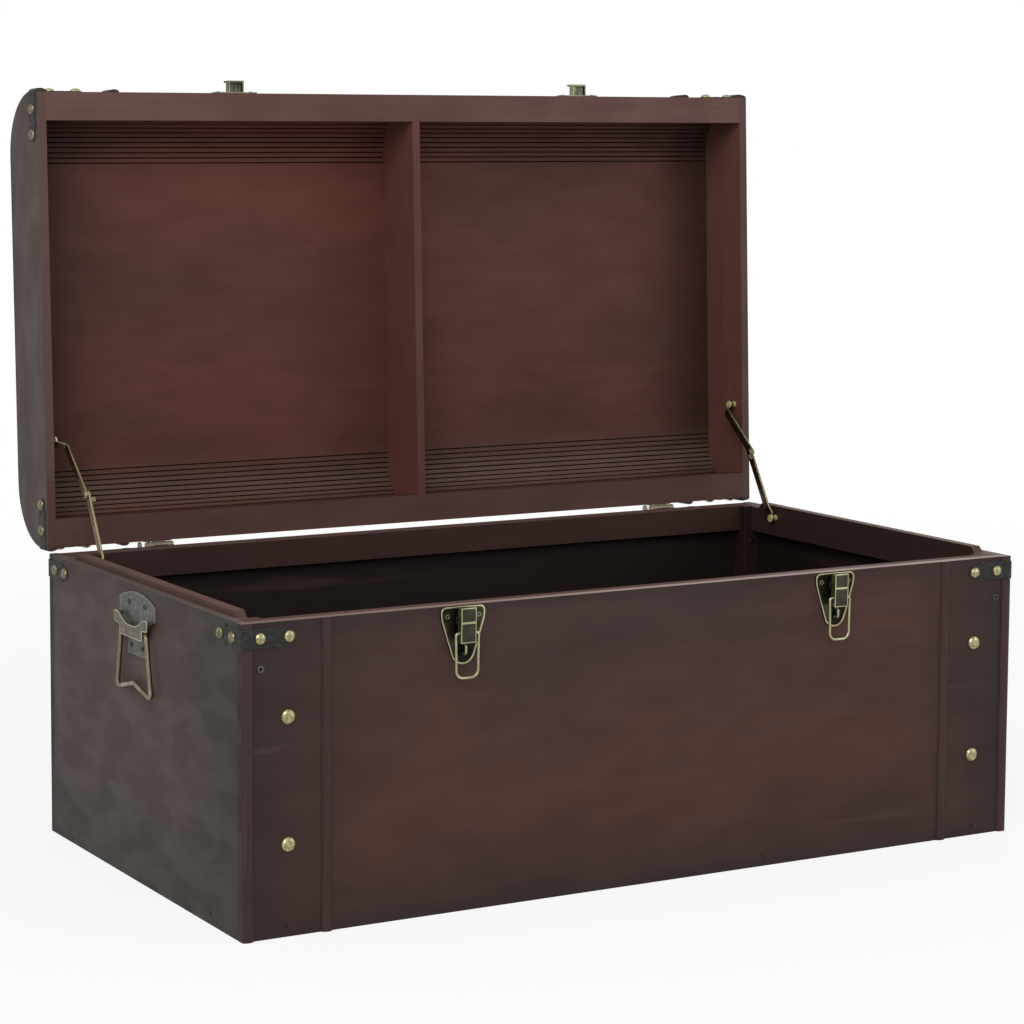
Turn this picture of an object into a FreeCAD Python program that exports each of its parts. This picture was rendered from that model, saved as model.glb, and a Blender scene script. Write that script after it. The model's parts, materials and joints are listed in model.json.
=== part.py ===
import FreeCAD, Part
import math
import os

Vector = FreeCAD.Vector

# Wooden treasure chest with a kerf-bent lid, two toggle latches, two side handles,
# two butt hinges and two folding lid stays. Millimetres, +Z up, +X to the right seen
# from the front, +Y to the back. The pieces are placed from the base's front left
# corner, with the lid shut. The lid then swings open about its hinge pins, and the
# origin moves to the floor, under the middle of the whole.

# Carcase
length = 800.0
depth = 428.0
base_height = 265.0
panel = 9.0
post = 18.0
bottom_thickness = 9.0
bottom_lift = 5.0
rail_thickness = 10.0
rail_height = 26.0
lip_height = 5.5
lip_front_inset = 30.0
lip_back_inset = 41.0
lip_chamfer = 5.0

# Half-round beads on the front, the back and the lid
corner_bead_width = 10.2
band_bead_width = 9.6
bead_proud = 2.8
bead_facets = 7
bead_shoulder_corners = 8
band_bead_inset = 77.5

# Lid
lid_height = 75.0
shoulder_radius = 58.0
skin = 10.0
lip_clearance = 0.6
rim_rail_width = 16.8
rim_rail_height = 20.0
rib_thickness = 8.0
kerf_width = 1.2
kerf_depth = 6.5
kerf_pitch = 5.0
kerfs_on_flat = 2
open_angle = 92.35

# Hinges
hinge_inset = 113.0
hinge_length = 28.0
hinge_knuckle_radius = 2.9
hinge_end_knuckle = 7.0
hinge_knuckle_gap = 0.3
hinge_leaf = 1.2
hinge_leaf_gap = 1.4
hinge_base_leaf_height = 22.0
hinge_lid_leaf_height = 13.0
hinge_pin_radius = 1.3
hinge_behind_back = 4.0
hinge_above_rim = 0.7
hinge_lug_width = 2.0
hinge_lug_offset = 5.0
hinge_lug_radius = 3.6
hinge_lug_foot = 12.0

# Small round bars and wires are drawn with flats, so that they stay light
bar_sides = 12
wire_sides = 8
wire_bend_facets = 4
running_clearance = 0.08

# Domed nails
bracket_nail_radius = 5.15
bracket_nail_height = 2.8
big_nail_radius = 6.75
big_nail_height = 3.6
big_nail_inset = 42.0
big_nail_below_rim = 80.0
big_nail_above_floor = 78.0
nail_sides = 9
nail_ring_shares = (1.0, 0.62, 0.22)

# Corner brackets
bracket_sheet = 1.0
bracket_half_height = 8.0
bracket_middle = 13.0
bracket_front_nails = (16.5, 43.0)
bracket_side_nails = (16.0, 40.0)
bracket_neck = 6.4
bracket_neck_from_nail = 13.5
bracket_taper = 3.0
bracket_lobe = 10.0
bracket_lobe_from_nail = 8.5
bracket_tip_radius = 6.4
bracket_tip_half_turn = 120
bracket_tip_facets = 8
bracket_bead_gap = 0.1

# Toggle latches: the plate
latch_from_middle = 194.35
latch_top_gap = 0.8
latch_width = 43.0
latch_height = 50.0
latch_sheet = 1.2
latch_rim = 0.6
latch_rim_width = 1.3
latch_corner = 5.5
latch_shoulder_drop = 9.0
latch_waist_width = 24.0
latch_waist_drop = 38.0
latch_foot_width = 15.0
latch_foot_corner = 7.0
ear_sheet = 1.2
ear_radius = 2.0
ear_facets = 4
ear_root_top = 2.6
ear_root_foot = 8.5
boss_drop = 36.5
boss_radius = 6.6
boss_height = 1.1
staple_width = 2.2
staple_half_height = 5.3
staple_proud = 7.4
staple_wire = 2.0
staple_chamfer = 1.8

# Toggle latches: the lever and its wire loop
lever_width = 14.7
lever_sheet = 1.0
lever_side_play = 0.3
lever_pivot_drop = 5.8
lever_pivot_proud = 8.2
lever_pin_radius = 1.0
lever_pin_end = 0.1
lever_web_proud = 11.8
lever_top_gap = 0.2
lever_crease = 13.0
lever_length = 30.3
lever_foot_proud = 11.2
lever_cheek_top = 8.0
lever_cheek_back = 5.2
lever_cheek_foot = 8.5
lever_cheek_bend = 18.2
loop_wire_radius = 1.25
loop_pivot_drop = 22.0
loop_pivot_proud = 8.6
loop_half_width_top = 11.05
loop_half_width_foot = 10.45
loop_bend_top = 2.2
loop_bend_foot = 6.5
loop_end_inside = 1.2

# Hook catches on the lid
catch_width = 45.0
catch_sheet = 1.3
catch_foot = 3.0
catch_plate_height = 12.0
catch_corner = 2.4
hook_width = 17.6
hook_proud = 12.4
hook_foot = 4.0
hook_seat = 14.2
hook_corner = 5.0
hook_lip = 2.2
hook_lip_corner = 2.0
hook_wall = 1.8

# Side handles
handle_plate = 1.5
handle_below_rim = 39.0
handle_half_width = 39.0
handle_top_rise = 34.0
handle_shoulder_rise = 26.0
handle_waist_rise = 13.0
handle_tongue_half_width = 20.5
handle_tongue_rise = 5.0
handle_tongue_drop = 22.0
strap_sheet = 1.2
strap_ear_half_width = 36.5
strap_ear_top = 14.5
strap_ear_foot = 4.2
strap_half_width = 25.0
strap_top = 6.5
strap_foot = 5.5
strap_waist = 12.0
strap_rivet = 4.0
bearing_inner = 15.5
bearing_outer = 24.0
bearing_wall = 1.3
bail_wire_radius = 1.95
bail_play = 0.3
bail_stand_off = 3.1
bail_stub_inner = 14.0
bail_pivot_half_width = 27.6
bail_foot_half_width = 38.2
bail_drop = 55.0
bail_peak = 9.0
bail_top_bend = 3.5
bail_bend = 4.0
bail_peak_bend = 8.0

# Folding lid stays
stay_sheet = 1.6
stay_half_width = 4.2
stay_end_facets = 6
stay_layer_gap = 0.3
stay_rail_gap = 4.3
stay_base_from_back = 72.0
stay_base_below_rim = 7.0
stay_lid_from_back = 100.0
stay_lid_above_rim = 15.0
stay_lid_stand_off = 4.4
stay_lower_length = 76.5
stay_upper_length = 71.5
stay_upper_jog_start = 4.4
stay_lower_jog_start = 7.0
stay_lower_jog = 1.6
stay_jog_run = 5.0
stay_pin_radius = 1.9
stay_pin_depth = 7.0
stay_bush_radius = 3.4
stay_head_radius = 4.0
stay_head_height = 1.6
stay_rivet_radius = 3.0
stay_rivet_height = 1.0
stay_tab_from_elbow = 9.0
stay_tab_length = 4.5
stay_tab_height = 4.0

# Cutters reach past what they cut
overrun = 1.0

# The way a swept section turns its corners
mitred = 1

# Values worked out from the sizes above
half_length = length / 2
half_depth = depth / 2
handle_height = base_height - handle_below_rim
inner = panel + rail_thickness
post_reach = panel + post
end_board = panel - lip_clearance
wall_straight = lid_height - shoulder_radius
hinge_y = depth + hinge_behind_back
hinge_z = base_height + hinge_above_rim
hinge_middle = Vector(half_length, hinge_y, hinge_z)
along_x = Vector(1, 0, 0)
along_y = Vector(0, 1, 0)
along_z = Vector(0, 0, 1)
front = Vector(0, -1, 0)
back = Vector(0, 1, 0)
left = Vector(-1, 0, 0)
right = Vector(1, 0, 0)

# The lid's top shoulder reaches furthest back once it is open, the levers furthest
# forward, and the origin lies midway
open_turn = math.radians(open_angle)
shoulder_run = (shoulder_radius - hinge_y) * math.cos(open_turn)
shoulder_rise = (wall_straight - hinge_above_rim) * math.sin(open_turn)
back_reach = hinge_y + shoulder_run + shoulder_rise + shoulder_radius + bead_proud
origin_y = (back_reach - lever_web_proud) / 2


# Shapes that every piece is made of

def spot(plane, first, second, level):
    """A point of the xy, xz or yz plane at a level along the third axis."""
    if plane == "xy":
        return Vector(first, second, level)
    if plane == "xz":
        return Vector(first, level, second)
    return Vector(level, first, second)


def rounded_corner(before, corner, after, radius):
    """Start, middle and end of the arc that rounds a corner."""
    back_way = before - corner
    on_way = after - corner
    half = back_way.getAngle(on_way) / 2
    back_way.normalize()
    on_way.normalize()
    middle_way = back_way + on_way
    middle_way.normalize()
    setback = radius / math.tan(half)
    bulge = radius / math.sin(half) - radius
    return corner + back_way * setback, corner + middle_way * bulge, corner + on_way * setback


def outline(points, plane, level, radii=None):
    """A closed wire through the points; a radius rounds its corner."""
    corners = [spot(plane, first, second, level) for first, second in points]
    count = len(corners)
    radii = radii or [0] * count
    starts = []
    ends = []
    edges = []
    for index, corner in enumerate(corners):
        start = end = corner
        if radii[index] > 0:
            after = corners[(index + 1) % count]
            start, middle, end = rounded_corner(corners[index - 1], corner, after, radii[index])
            edges.append(Part.Arc(start, middle, end).toShape())
        starts.append(start)
        ends.append(end)
    for index in range(count):
        edges.append(Part.makeLine(ends[index], starts[(index + 1) % count]))
    return Part.Wire(Part.__sortEdges__(edges))


def slab(points, plane, start, end, radii=None):
    """A flat outline given a thickness from start to end along the third axis."""
    face = Part.Face(outline(points, plane, start, radii))
    return face.extrude(spot(plane, 0, 0, end - start))


def block(x0, x1, y0, y1, z0, z1):
    return Part.makeBox(x1 - x0, y1 - y0, z1 - z0, Vector(x0, y0, z0))


def arc_points(centre, radius, start, end, facets):
    """Points of an arc about a centre, from one angle to another in degrees."""
    points = []
    for step in range(facets + 1):
        angle = math.radians(start + (end - start) * step / facets)
        points.append((centre[0] + radius * math.cos(angle), centre[1] + radius * math.sin(angle)))
    return points


def flat_ring(centre, way, radius, sides):
    """A regular polygon about a point, square to the given way."""
    turn = FreeCAD.Rotation(along_z, way)
    corners = []
    for step in range(sides + 1):
        angle = 2 * math.pi * (step % sides) / sides
        spoke = Vector(radius * math.cos(angle), radius * math.sin(angle), 0)
        corners.append(centre + turn.multVec(spoke))
    return Part.makePolygon(corners)


def bar(start, end, radius):
    """A small round bar from one point to another."""
    return Part.Face(flat_ring(start, end - start, radius, bar_sides)).extrude(end - start)


def bar_along_x(x0, x1, y, z, radius):
    return bar(Vector(x0, y, z), Vector(x1, y, z), radius)


def bend_points(before, corner, after, radius):
    """Points of a wire's bend, evenly spaced on its arc."""
    start, middle, end = rounded_corner(before, corner, after, radius)
    inward = middle - corner
    inward.normalize()
    centre = middle + inward * radius
    spoke = start - centre
    axis = spoke.cross(end - centre)
    whole = math.degrees(spoke.getAngle(end - centre))
    points = []
    for step in range(wire_bend_facets + 1):
        turn = FreeCAD.Rotation(axis, whole * step / wire_bend_facets)
        points.append(centre + turn.multVec(spoke))
    return points


def bent_wire(points, bends, radius):
    """A wire along straight runs joined by tangent bends."""
    path = [points[0]]
    for index, bend in enumerate(bends):
        path += bend_points(points[index], points[index + 1], points[index + 2], bend)
    path.append(points[-1])
    section = flat_ring(points[0], points[1] - points[0], radius, wire_sides)
    return Part.makePolygon(path).makePipeShell([section], True, False, mitred)


def fused(shapes):
    whole = shapes[0]
    for shape in shapes[1:]:
        whole = whole.fuse(shape)
    return whole.removeSplitter()


def both_ends(inset):
    return (inset, length - inset)


def mirrored(shape):
    """The same piece on the other side of the chest's middle plane."""
    return shape.mirror(Vector(half_length, 0, 0), along_x)


def behind(shape):
    """The same piece on the back instead of the front."""
    return shape.mirror(Vector(0, half_depth, 0), along_y)


def save(name, shape, in_lid=False):
    """Open the lid's pieces, move the origin and write the STEP file."""
    shape = shape.copy()
    if in_lid:
        shape.rotate(hinge_middle, along_x, -open_angle)
    shape.translate(Vector(-half_length, -origin_y, 0))
    shape.exportStep("parts/" + name + ".step")
    solids[name] = shape


# Carcase

def corner_post(x0, y0):
    foot = bottom_lift + bottom_thickness
    return block(x0, x0 + post, y0, y0 + post, foot, base_height)


def lip_rail():
    """The left inner rail, which rises above the rim between the lid's own rails."""
    foot = base_height - rail_height
    top = base_height + lip_height
    lip_end = depth - lip_back_inset
    points = [
        (post_reach, foot),
        (depth - post_reach, foot),
        (depth - post_reach, base_height),
        (lip_end, base_height),
        (lip_end - lip_chamfer, top),
        (lip_front_inset + lip_chamfer, top),
        (lip_front_inset, base_height),
        (post_reach, base_height),
    ]
    rail = slab(points, "yz", panel, inner)
    y, z = stay_base_pin
    return rail.cut(bar_along_x(inner - stay_pin_depth, inner + overrun, y, z, stay_pin_radius))


def long_rail(y0):
    foot = base_height - rail_height
    return block(post_reach, length - post_reach, y0, y0 + rail_thickness, foot, base_height)


# Beads

# Each bead by where it starts along X, and its width
band_bead_start = band_bead_inset - band_bead_width / 2
bead_runs = (
    (0, corner_bead_width),
    (band_bead_start, band_bead_width),
    (length - band_bead_start - band_bead_width, band_bead_width),
    (length - corner_bead_width, corner_bead_width),
)


def bead_outline(x0, width, extra=0):
    """Half-round section on the front face, made larger all round by extra."""
    wide = width / 2 + extra
    proud = bead_proud + extra
    points = []
    for step in range(bead_facets + 1):
        angle = math.pi * step / bead_facets
        points.append((x0 + width / 2 - wide * math.cos(angle), -proud * math.sin(angle)))
    return points


def front_beads():
    beads = [slab(bead_outline(x, width), "xy", 0, base_height) for x, width in bead_runs]
    return Part.makeCompound(beads)


# Domed nails

def nail_head(radius, height):
    """A domed head that stands on its rim, up along +Z."""
    ball = (radius ** 2 + height ** 2) / (2 * height)
    half = math.asin(radius / ball)
    rings = []
    for share in nail_ring_shares:
        level = height - ball * (1 - math.cos(half * share))
        rings.append(flat_ring(Vector(0, 0, level), along_z, ball * math.sin(half * share), nail_sides))
    return Part.makeLoft(rings, True, True)


def turned(shape, outward, place):
    """A shape modelled along +Z, tipped outward at its place."""
    copy = shape.copy()
    copy.Placement = FreeCAD.Placement(place, FreeCAD.Rotation(along_z, outward))
    return copy


def bracket_nails(height):
    """Two nails in each arm of the four corner brackets."""
    nail = nail_head(bracket_nail_radius, bracket_nail_height)
    nails = []
    for inset in bracket_front_nails:
        for x in both_ends(inset):
            nails.append(turned(nail, front, Vector(x, -bracket_sheet, height)))
            nails.append(turned(nail, back, Vector(x, depth + bracket_sheet, height)))
    for inset in bracket_side_nails:
        for y in (inset, depth - inset):
            nails.append(turned(nail, left, Vector(-bracket_sheet, y, height)))
            nails.append(turned(nail, right, Vector(length + bracket_sheet, y, height)))
    return Part.makeCompound(nails)


def band_nails():
    nail = nail_head(big_nail_radius, big_nail_height)
    nails = []
    for x in both_ends(big_nail_inset):
        for z in (base_height - big_nail_below_rim, big_nail_above_floor):
            nails.append(turned(nail, front, Vector(x, 0, z)))
            nails.append(turned(nail, back, Vector(x, depth, z)))
    return Part.makeCompound(nails)


# Corner brackets

def arm_outline(height, far_nail):
    """One arm from the corner out: straight, a neck, two pointed lobes and a round tip."""
    neck = far_nail - bracket_neck_from_nail
    upper = [
        (0, bracket_half_height),
        (neck - bracket_taper, bracket_half_height),
        (neck, bracket_neck),
        (far_nail - bracket_lobe_from_nail, bracket_lobe),
    ]
    half_turn = bracket_tip_half_turn
    tip = arc_points((far_nail, 0), bracket_tip_radius, half_turn, -half_turn, bracket_tip_facets)
    lower = [(out, -side) for out, side in reversed(upper)]
    return [(out, height + side) for out, side in upper + tip + lower]


def corner_bracket(height):
    """The front left bracket: two flat arms and a fold round the corner bead."""
    front_arm = slab(arm_outline(height, bracket_front_nails[1]), "xz", -bracket_sheet, 0)
    side_arm = slab(arm_outline(height, bracket_side_nails[1]), "yz", -bracket_sheet, 0)
    low = height - bracket_half_height
    high = height + bracket_half_height
    fold = slab(bead_outline(0, corner_bead_width, bracket_sheet), "xy", low, high)
    inside = bead_outline(0, corner_bead_width, bracket_bead_gap)
    room = slab(inside, "xy", low - overrun, high + overrun)
    return fused([front_arm, side_arm, fold]).cut(room)


def four_brackets(height):
    one = corner_bracket(height)
    return Part.makeCompound([one, mirrored(one), behind(one), mirrored(behind(one))])


# Toggle latches

latch_top = base_height - latch_top_gap
latch_centres = {"left": half_length - latch_from_middle, "right": half_length + latch_from_middle}
lever_pin_z = latch_top - lever_pivot_drop
loop_pin_z = latch_top - loop_pivot_drop


def shield(centre, shrink, start, end):
    """The latch plate's outline, shrunk all round, with a thickness."""
    half = latch_width / 2 - shrink
    waist = latch_waist_width / 2 - shrink
    foot = latch_foot_width / 2 - shrink
    half_side = [
        (half, latch_top - shrink),
        (half, latch_top - latch_shoulder_drop),
        (waist, latch_top - latch_waist_drop),
        (foot, latch_top - latch_height + shrink),
    ]
    radii = [latch_corner - shrink, 0, 0, latch_foot_corner - shrink]
    points = [(centre + x, z) for x, z in half_side]
    points += [(centre - x, z) for x, z in reversed(half_side)]
    return slab(points, "xz", start, end, radii + radii[::-1])


def ear(centre, side):
    """A lug beside the lever; its upper edge slopes where the raised lever lies."""
    outer = lever_width / 2 - lever_sheet - lever_side_play
    x0, x1 = sorted((centre + side * outer, centre + side * (outer - ear_sheet)))
    root = [(0, lever_pin_z - ear_root_foot), (-latch_sheet, lever_pin_z - ear_root_foot)]
    eye = arc_points((-lever_pivot_proud, lever_pin_z), ear_radius, 270, 90, ear_facets)
    top = [(-latch_sheet, lever_pin_z - ear_root_top), (0, lever_pin_z - ear_root_top)]
    return slab(root + eye + top, "yz", x0, x1)


def staple(centre):
    """An upright padlock staple with a slot through it."""
    z = latch_top - boss_drop
    outer = staple_proud
    soft = outer - staple_chamfer
    high = staple_half_height
    points = [
        (0, z - high),
        (-soft, z - high),
        (-outer, z - high + staple_chamfer),
        (-outer, z + high - staple_chamfer),
        (-soft, z + high),
        (0, z + high),
    ]
    x0 = centre - staple_width / 2
    x1 = centre + staple_width / 2
    slot_high = high - staple_wire
    slot_deep = latch_sheet + boss_height
    slot = block(x0 - overrun, x1 + overrun, staple_wire - outer, -slot_deep, z - slot_high, z + slot_high)
    return slab(points, "yz", x0, x1).cut(slot)


def latch_plate(centre):
    """Dished shield with its boss and staple, two ears and the pin riveted in them."""
    thick = latch_sheet + latch_rim
    dish = shield(centre, latch_rim_width, -thick - overrun, -latch_sheet)
    plate = shield(centre, 0, -thick, 0).cut(dish)
    boss_z = latch_top - boss_drop
    boss = bar(Vector(centre, 0, boss_z), Vector(centre, -latch_sheet - boss_height, boss_z), boss_radius)
    reach = lever_width / 2 + lever_pin_end
    pin = bar_along_x(centre - reach, centre + reach, -lever_pivot_proud, lever_pin_z, lever_pin_radius)
    return fused([plate, boss, staple(centre), ear(centre, -1), ear(centre, 1), pin])


def latch_lever(centre):
    """Channel with a cranked web; its cheeks turn on the pin and carry the wire loop."""
    half = lever_width / 2
    top = latch_top - lever_top_gap
    crease = latch_top - lever_crease
    foot = latch_top - lever_length
    points = [
        (-lever_web_proud, top),
        (-lever_cheek_top, top),
        (-lever_cheek_back, lever_pin_z + ear_radius),
        (-lever_cheek_back, lever_pin_z - lever_cheek_bend),
        (-lever_cheek_foot, foot),
        (-lever_foot_proud, foot),
        (-lever_web_proud, crease),
    ]
    hollow = [
        (lever_sheet - lever_web_proud, top + overrun),
        (0, top + overrun),
        (0, foot - overrun),
        (lever_sheet - lever_foot_proud, foot - overrun),
        (lever_sheet - lever_web_proud, crease),
    ]
    body = slab(points, "yz", centre - half, centre + half)
    inside = half - lever_sheet
    body = body.cut(slab(hollow, "yz", centre - inside, centre + inside))
    reach = half + overrun
    for proud, z, radius in (
        (lever_pivot_proud, lever_pin_z, lever_pin_radius),
        (loop_pivot_proud, loop_pin_z, loop_wire_radius),
    ):
        hole_radius = radius + running_clearance
        body = body.cut(bar_along_x(centre - reach, centre + reach, -proud, z, hole_radius))
    return body


def latch_loop(centre):
    """Wire loop hanging from the lever; turned up, it comes to rest on the hook's seat."""
    inside = lever_width / 2 - lever_sheet - loop_end_inside
    seated_z = base_height + hook_seat + loop_wire_radius + running_clearance
    foot_z = loop_pin_z - (seated_z - loop_pin_z)
    half = [
        (inside, loop_pin_z),
        (loop_half_width_top, loop_pin_z),
        (loop_half_width_foot, foot_z),
    ]
    y = -loop_pivot_proud
    points = [Vector(centre - x, y, z) for x, z in half]
    points += [Vector(centre + x, y, z) for x, z in reversed(half)]
    return bent_wire(points, [loop_bend_top, loop_bend_foot, loop_bend_foot, loop_bend_top], loop_wire_radius)


def clipped_outline(x0, x1, z0, z1, foot_cut, top_cut):
    """A rectangle with its corners cut off."""
    return [
        (x0 + foot_cut, z0),
        (x1 - foot_cut, z0),
        (x1, z0 + foot_cut),
        (x1, z1 - top_cut),
        (x1 - top_cut, z1),
        (x0 + top_cut, z1),
        (x0, z1 - top_cut),
        (x0, z0 + foot_cut),
    ]


def hook_catch(centre):
    """A plate on the lid with a hollow square hook that opens upward for the loop."""
    low = base_height + catch_foot
    high = low + catch_plate_height
    x0 = centre - catch_width / 2
    x1 = centre + catch_width / 2
    plate = slab(clipped_outline(x0, x1, low, high, catch_corner, catch_corner), "xz", -catch_sheet, 0)
    x0 = centre - hook_width / 2
    x1 = centre + hook_width / 2
    foot = base_height + hook_foot
    seat = base_height + hook_seat
    lip_inner = hook_wall - hook_proud
    arm = slab(clipped_outline(x0, x1, foot, seat, hook_wall, hook_corner), "xz", lip_inner, 0)
    lip_top = seat + hook_lip
    lip_outline = clipped_outline(x0, x1, foot, lip_top, hook_wall, hook_lip_corner)
    lip = slab(lip_outline, "xz", -hook_proud, lip_inner)
    x0 += hook_wall
    x1 -= hook_wall
    hollow = [
        (x0, foot - overrun),
        (x1, foot - overrun),
        (x1, seat - hook_corner),
        (x1 + hook_wall - hook_corner, seat - hook_wall),
        (x0 - hook_wall + hook_corner, seat - hook_wall),
        (x0, seat - hook_corner),
    ]
    return fused([plate, arm, lip]).cut(slab(hollow, "xz", lip_inner, -catch_sheet))


# Side handles, the left one modelled and the right one mirrored

bail_axis_x = -handle_plate - bail_stand_off
strap_inner_x = bail_axis_x - bail_wire_radius - bail_play


def handle_back_plate():
    """A plate with an arched top, stepped in to a tongue below."""
    z = handle_height
    half_side = [
        (handle_half_width, z + handle_shoulder_rise),
        (handle_half_width, z + handle_waist_rise),
        (handle_tongue_half_width, z + handle_tongue_rise),
        (handle_tongue_half_width, z - handle_tongue_drop),
    ]
    corners = [Vector(0, half_depth - y, height) for y, height in half_side]
    corners += [Vector(0, half_depth + y, height) for y, height in reversed(half_side)]
    crown = Vector(0, half_depth, z + handle_top_rise)
    arch = Part.Arc(corners[-1], crown, corners[0]).toShape()
    sides = Part.makePolygon(corners)
    return Part.Face(Part.Wire(sides.Edges + [arch])).extrude(left * handle_plate)


def handle_strap():
    """Winged strap, bored for the bail's two ends and riveted down at its wings."""
    z = handle_height
    half_side = [
        (strap_waist, z + strap_top),
        (strap_half_width, z + strap_ear_top),
        (strap_ear_half_width, z + strap_ear_top),
        (strap_ear_half_width, z + strap_ear_foot),
        (strap_half_width, z + strap_ear_foot),
        (strap_half_width, z - strap_foot),
    ]
    points = [(half_depth + y, height) for y, height in half_side]
    points += [(half_depth - y, height) for y, height in reversed(half_side)]
    pieces = [slab(points, "yz", strap_inner_x - strap_sheet, strap_inner_x)]
    bearing_half = bail_wire_radius + bearing_wall
    rivet_top = z + strap_ear_top - strap_sheet
    for side in (-1, 1):
        y0, y1 = sorted((half_depth + side * bearing_inner, half_depth + side * bearing_outer))
        pieces.append(block(strap_inner_x, -handle_plate, y0, y1, z - bearing_half, z + bearing_half))
        wing = half_depth + side * strap_ear_half_width
        y0, y1 = sorted((wing, wing - side * strap_rivet))
        pieces.append(block(strap_inner_x, -handle_plate, y0, y1, rivet_top - strap_rivet, rivet_top))
    start = Vector(bail_axis_x, half_depth - strap_ear_half_width, z)
    end = Vector(bail_axis_x, half_depth + strap_ear_half_width, z)
    return fused(pieces).cut(bar(start, end, bail_wire_radius + running_clearance))


def handle_bail():
    """Wire bail: two ends under the strap, splayed legs and a foot with a peak."""
    z = handle_height
    half = [
        (bail_stub_inner, z),
        (bail_pivot_half_width, z),
        (bail_foot_half_width, z - bail_drop),
    ]
    points = [Vector(bail_axis_x, half_depth - y, height) for y, height in half]
    points.append(Vector(bail_axis_x, half_depth, z - bail_drop + bail_peak))
    points += [Vector(bail_axis_x, half_depth + y, height) for y, height in reversed(half)]
    bends = [bail_top_bend, bail_bend, bail_peak_bend, bail_bend, bail_top_bend]
    return bent_wire(points, bends, bail_wire_radius)


# Butt hinges on the back

hinge_centres = {"left": hinge_inset, "right": length - hinge_inset}


def hinge_base_leaf(centre):
    """Leaf on the back panel: two end knuckles with the pin, and a lug beside them."""
    foot = base_height - hinge_base_leaf_height
    top = base_height - hinge_leaf_gap - hinge_knuckle_radius
    outer = depth + hinge_leaf
    x0 = centre - hinge_length / 2
    x1 = centre + hinge_length / 2
    width = hinge_end_knuckle - hinge_knuckle_gap / 2
    pieces = [block(x0, x1, depth, outer, foot, top)]
    for k0 in (x0, x1 - width):
        pieces.append(block(k0, k0 + width, depth, outer, foot, hinge_z))
        pieces.append(bar_along_x(k0, k0 + width, hinge_y, hinge_z, hinge_knuckle_radius))
    pieces.append(bar_along_x(x0, x1, hinge_y, hinge_z, hinge_pin_radius))
    lug_x1 = x0 - hinge_lug_offset
    lug_x0 = lug_x1 - hinge_lug_width
    lug_z = base_height - hinge_lug_foot
    pieces.append(block(lug_x0, x0, depth, outer, lug_z - hinge_lug_width, lug_z))
    pieces.append(block(lug_x0, lug_x1, depth, outer, lug_z - hinge_lug_width, hinge_z))
    pieces.append(bar_along_x(lug_x0, lug_x1, hinge_y, hinge_z, hinge_lug_radius))
    return fused(pieces)


def hinge_lid_leaf(centre):
    """Leaf on the lid's back face with the middle knuckle, which turns on the pin."""
    foot = base_height + hinge_leaf_gap
    top = foot + hinge_lid_leaf_height
    outer = depth + hinge_leaf
    x0 = centre - hinge_length / 2
    x1 = centre + hinge_length / 2
    k0 = x0 + hinge_end_knuckle + hinge_knuckle_gap / 2
    k1 = x1 - hinge_end_knuckle - hinge_knuckle_gap / 2
    leaf = block(x0, x1, depth, outer, foot + hinge_knuckle_radius, top)
    web = block(k0, k1, depth, outer, hinge_z, top)
    knuckle = bar_along_x(k0, k1, hinge_y, hinge_z, hinge_knuckle_radius)
    bore = bar_along_x(x0, x1, hinge_y, hinge_z, hinge_pin_radius + running_clearance)
    return fused([leaf, web, knuckle]).cut(bore)


# Lid

def lid_filling(inset, x0, x1):
    """The whole inside of the lid's outer line moved in by inset, from x0 to x1."""
    radius = shoulder_radius - inset
    wall_top = base_height + wall_straight
    roof = base_height + lid_height - inset
    slant = radius * math.sqrt(0.5)
    back_centre = depth - shoulder_radius
    front_foot = Vector(x0, inset, base_height)
    front_wall = Vector(x0, inset, wall_top)
    front_bend = Vector(x0, shoulder_radius - slant, wall_top + slant)
    front_roof = Vector(x0, shoulder_radius, roof)
    back_roof = Vector(x0, back_centre, roof)
    back_bend = Vector(x0, back_centre + slant, wall_top + slant)
    back_wall = Vector(x0, depth - inset, wall_top)
    back_foot = Vector(x0, depth - inset, base_height)
    edges = [
        Part.makeLine(front_foot, front_wall),
        Part.Arc(front_wall, front_bend, front_roof).toShape(),
        Part.makeLine(front_roof, back_roof),
        Part.Arc(back_roof, back_bend, back_wall).toShape(),
        Part.makeLine(back_wall, back_foot),
        Part.makeLine(back_foot, front_foot),
    ]
    return Part.Face(Part.Wire(edges)).extrude(Vector(x1 - x0, 0, 0))


def kerf_cutters():
    """Saw kerfs across both inner shoulders, and a few on the flat beside each."""
    inner_radius = shoulder_radius - skin
    kerfs = round(inner_radius * math.pi / 2 / kerf_pitch)
    step = 90 / kerfs
    blade_foot = inner_radius - skin / 2
    blade_length = length - 2 * end_board
    blade_height = inner_radius + kerf_depth - blade_foot
    blade_start = Vector(end_board, -kerf_width / 2, blade_foot)
    blade = Part.makeBox(blade_length, kerf_width, blade_height, blade_start)
    bend_z = base_height + wall_straight
    cutters = []
    for number in range(kerfs):
        cutter = blade.copy()
        cutter.rotate(Vector(0, 0, 0), along_x, step * (number + 0.5))
        cutter.translate(Vector(0, shoulder_radius, bend_z))
        cutters.append(cutter)
    for number in range(kerfs_on_flat):
        cutter = blade.copy()
        cutter.translate(Vector(0, shoulder_radius + kerf_pitch * (number + 0.5), bend_z))
        cutters.append(cutter)
    return cutters + [behind(cutter) for cutter in cutters]


def lid_skin():
    """One board bent over both shoulders, which its kerfs let it follow."""
    x1 = length - end_board
    shell = lid_filling(0, end_board, x1).cut(lid_filling(skin, end_board, x1))
    return shell.cut(Part.makeCompound(kerf_cutters()))


def lid_left_end():
    board = lid_filling(0, 0, end_board)
    y = depth - stay_lid_from_back
    z = base_height + stay_lid_above_rim
    return board.cut(bar_along_x(end_board - stay_pin_depth, end_board + overrun, y, z, stay_pin_radius))


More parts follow.
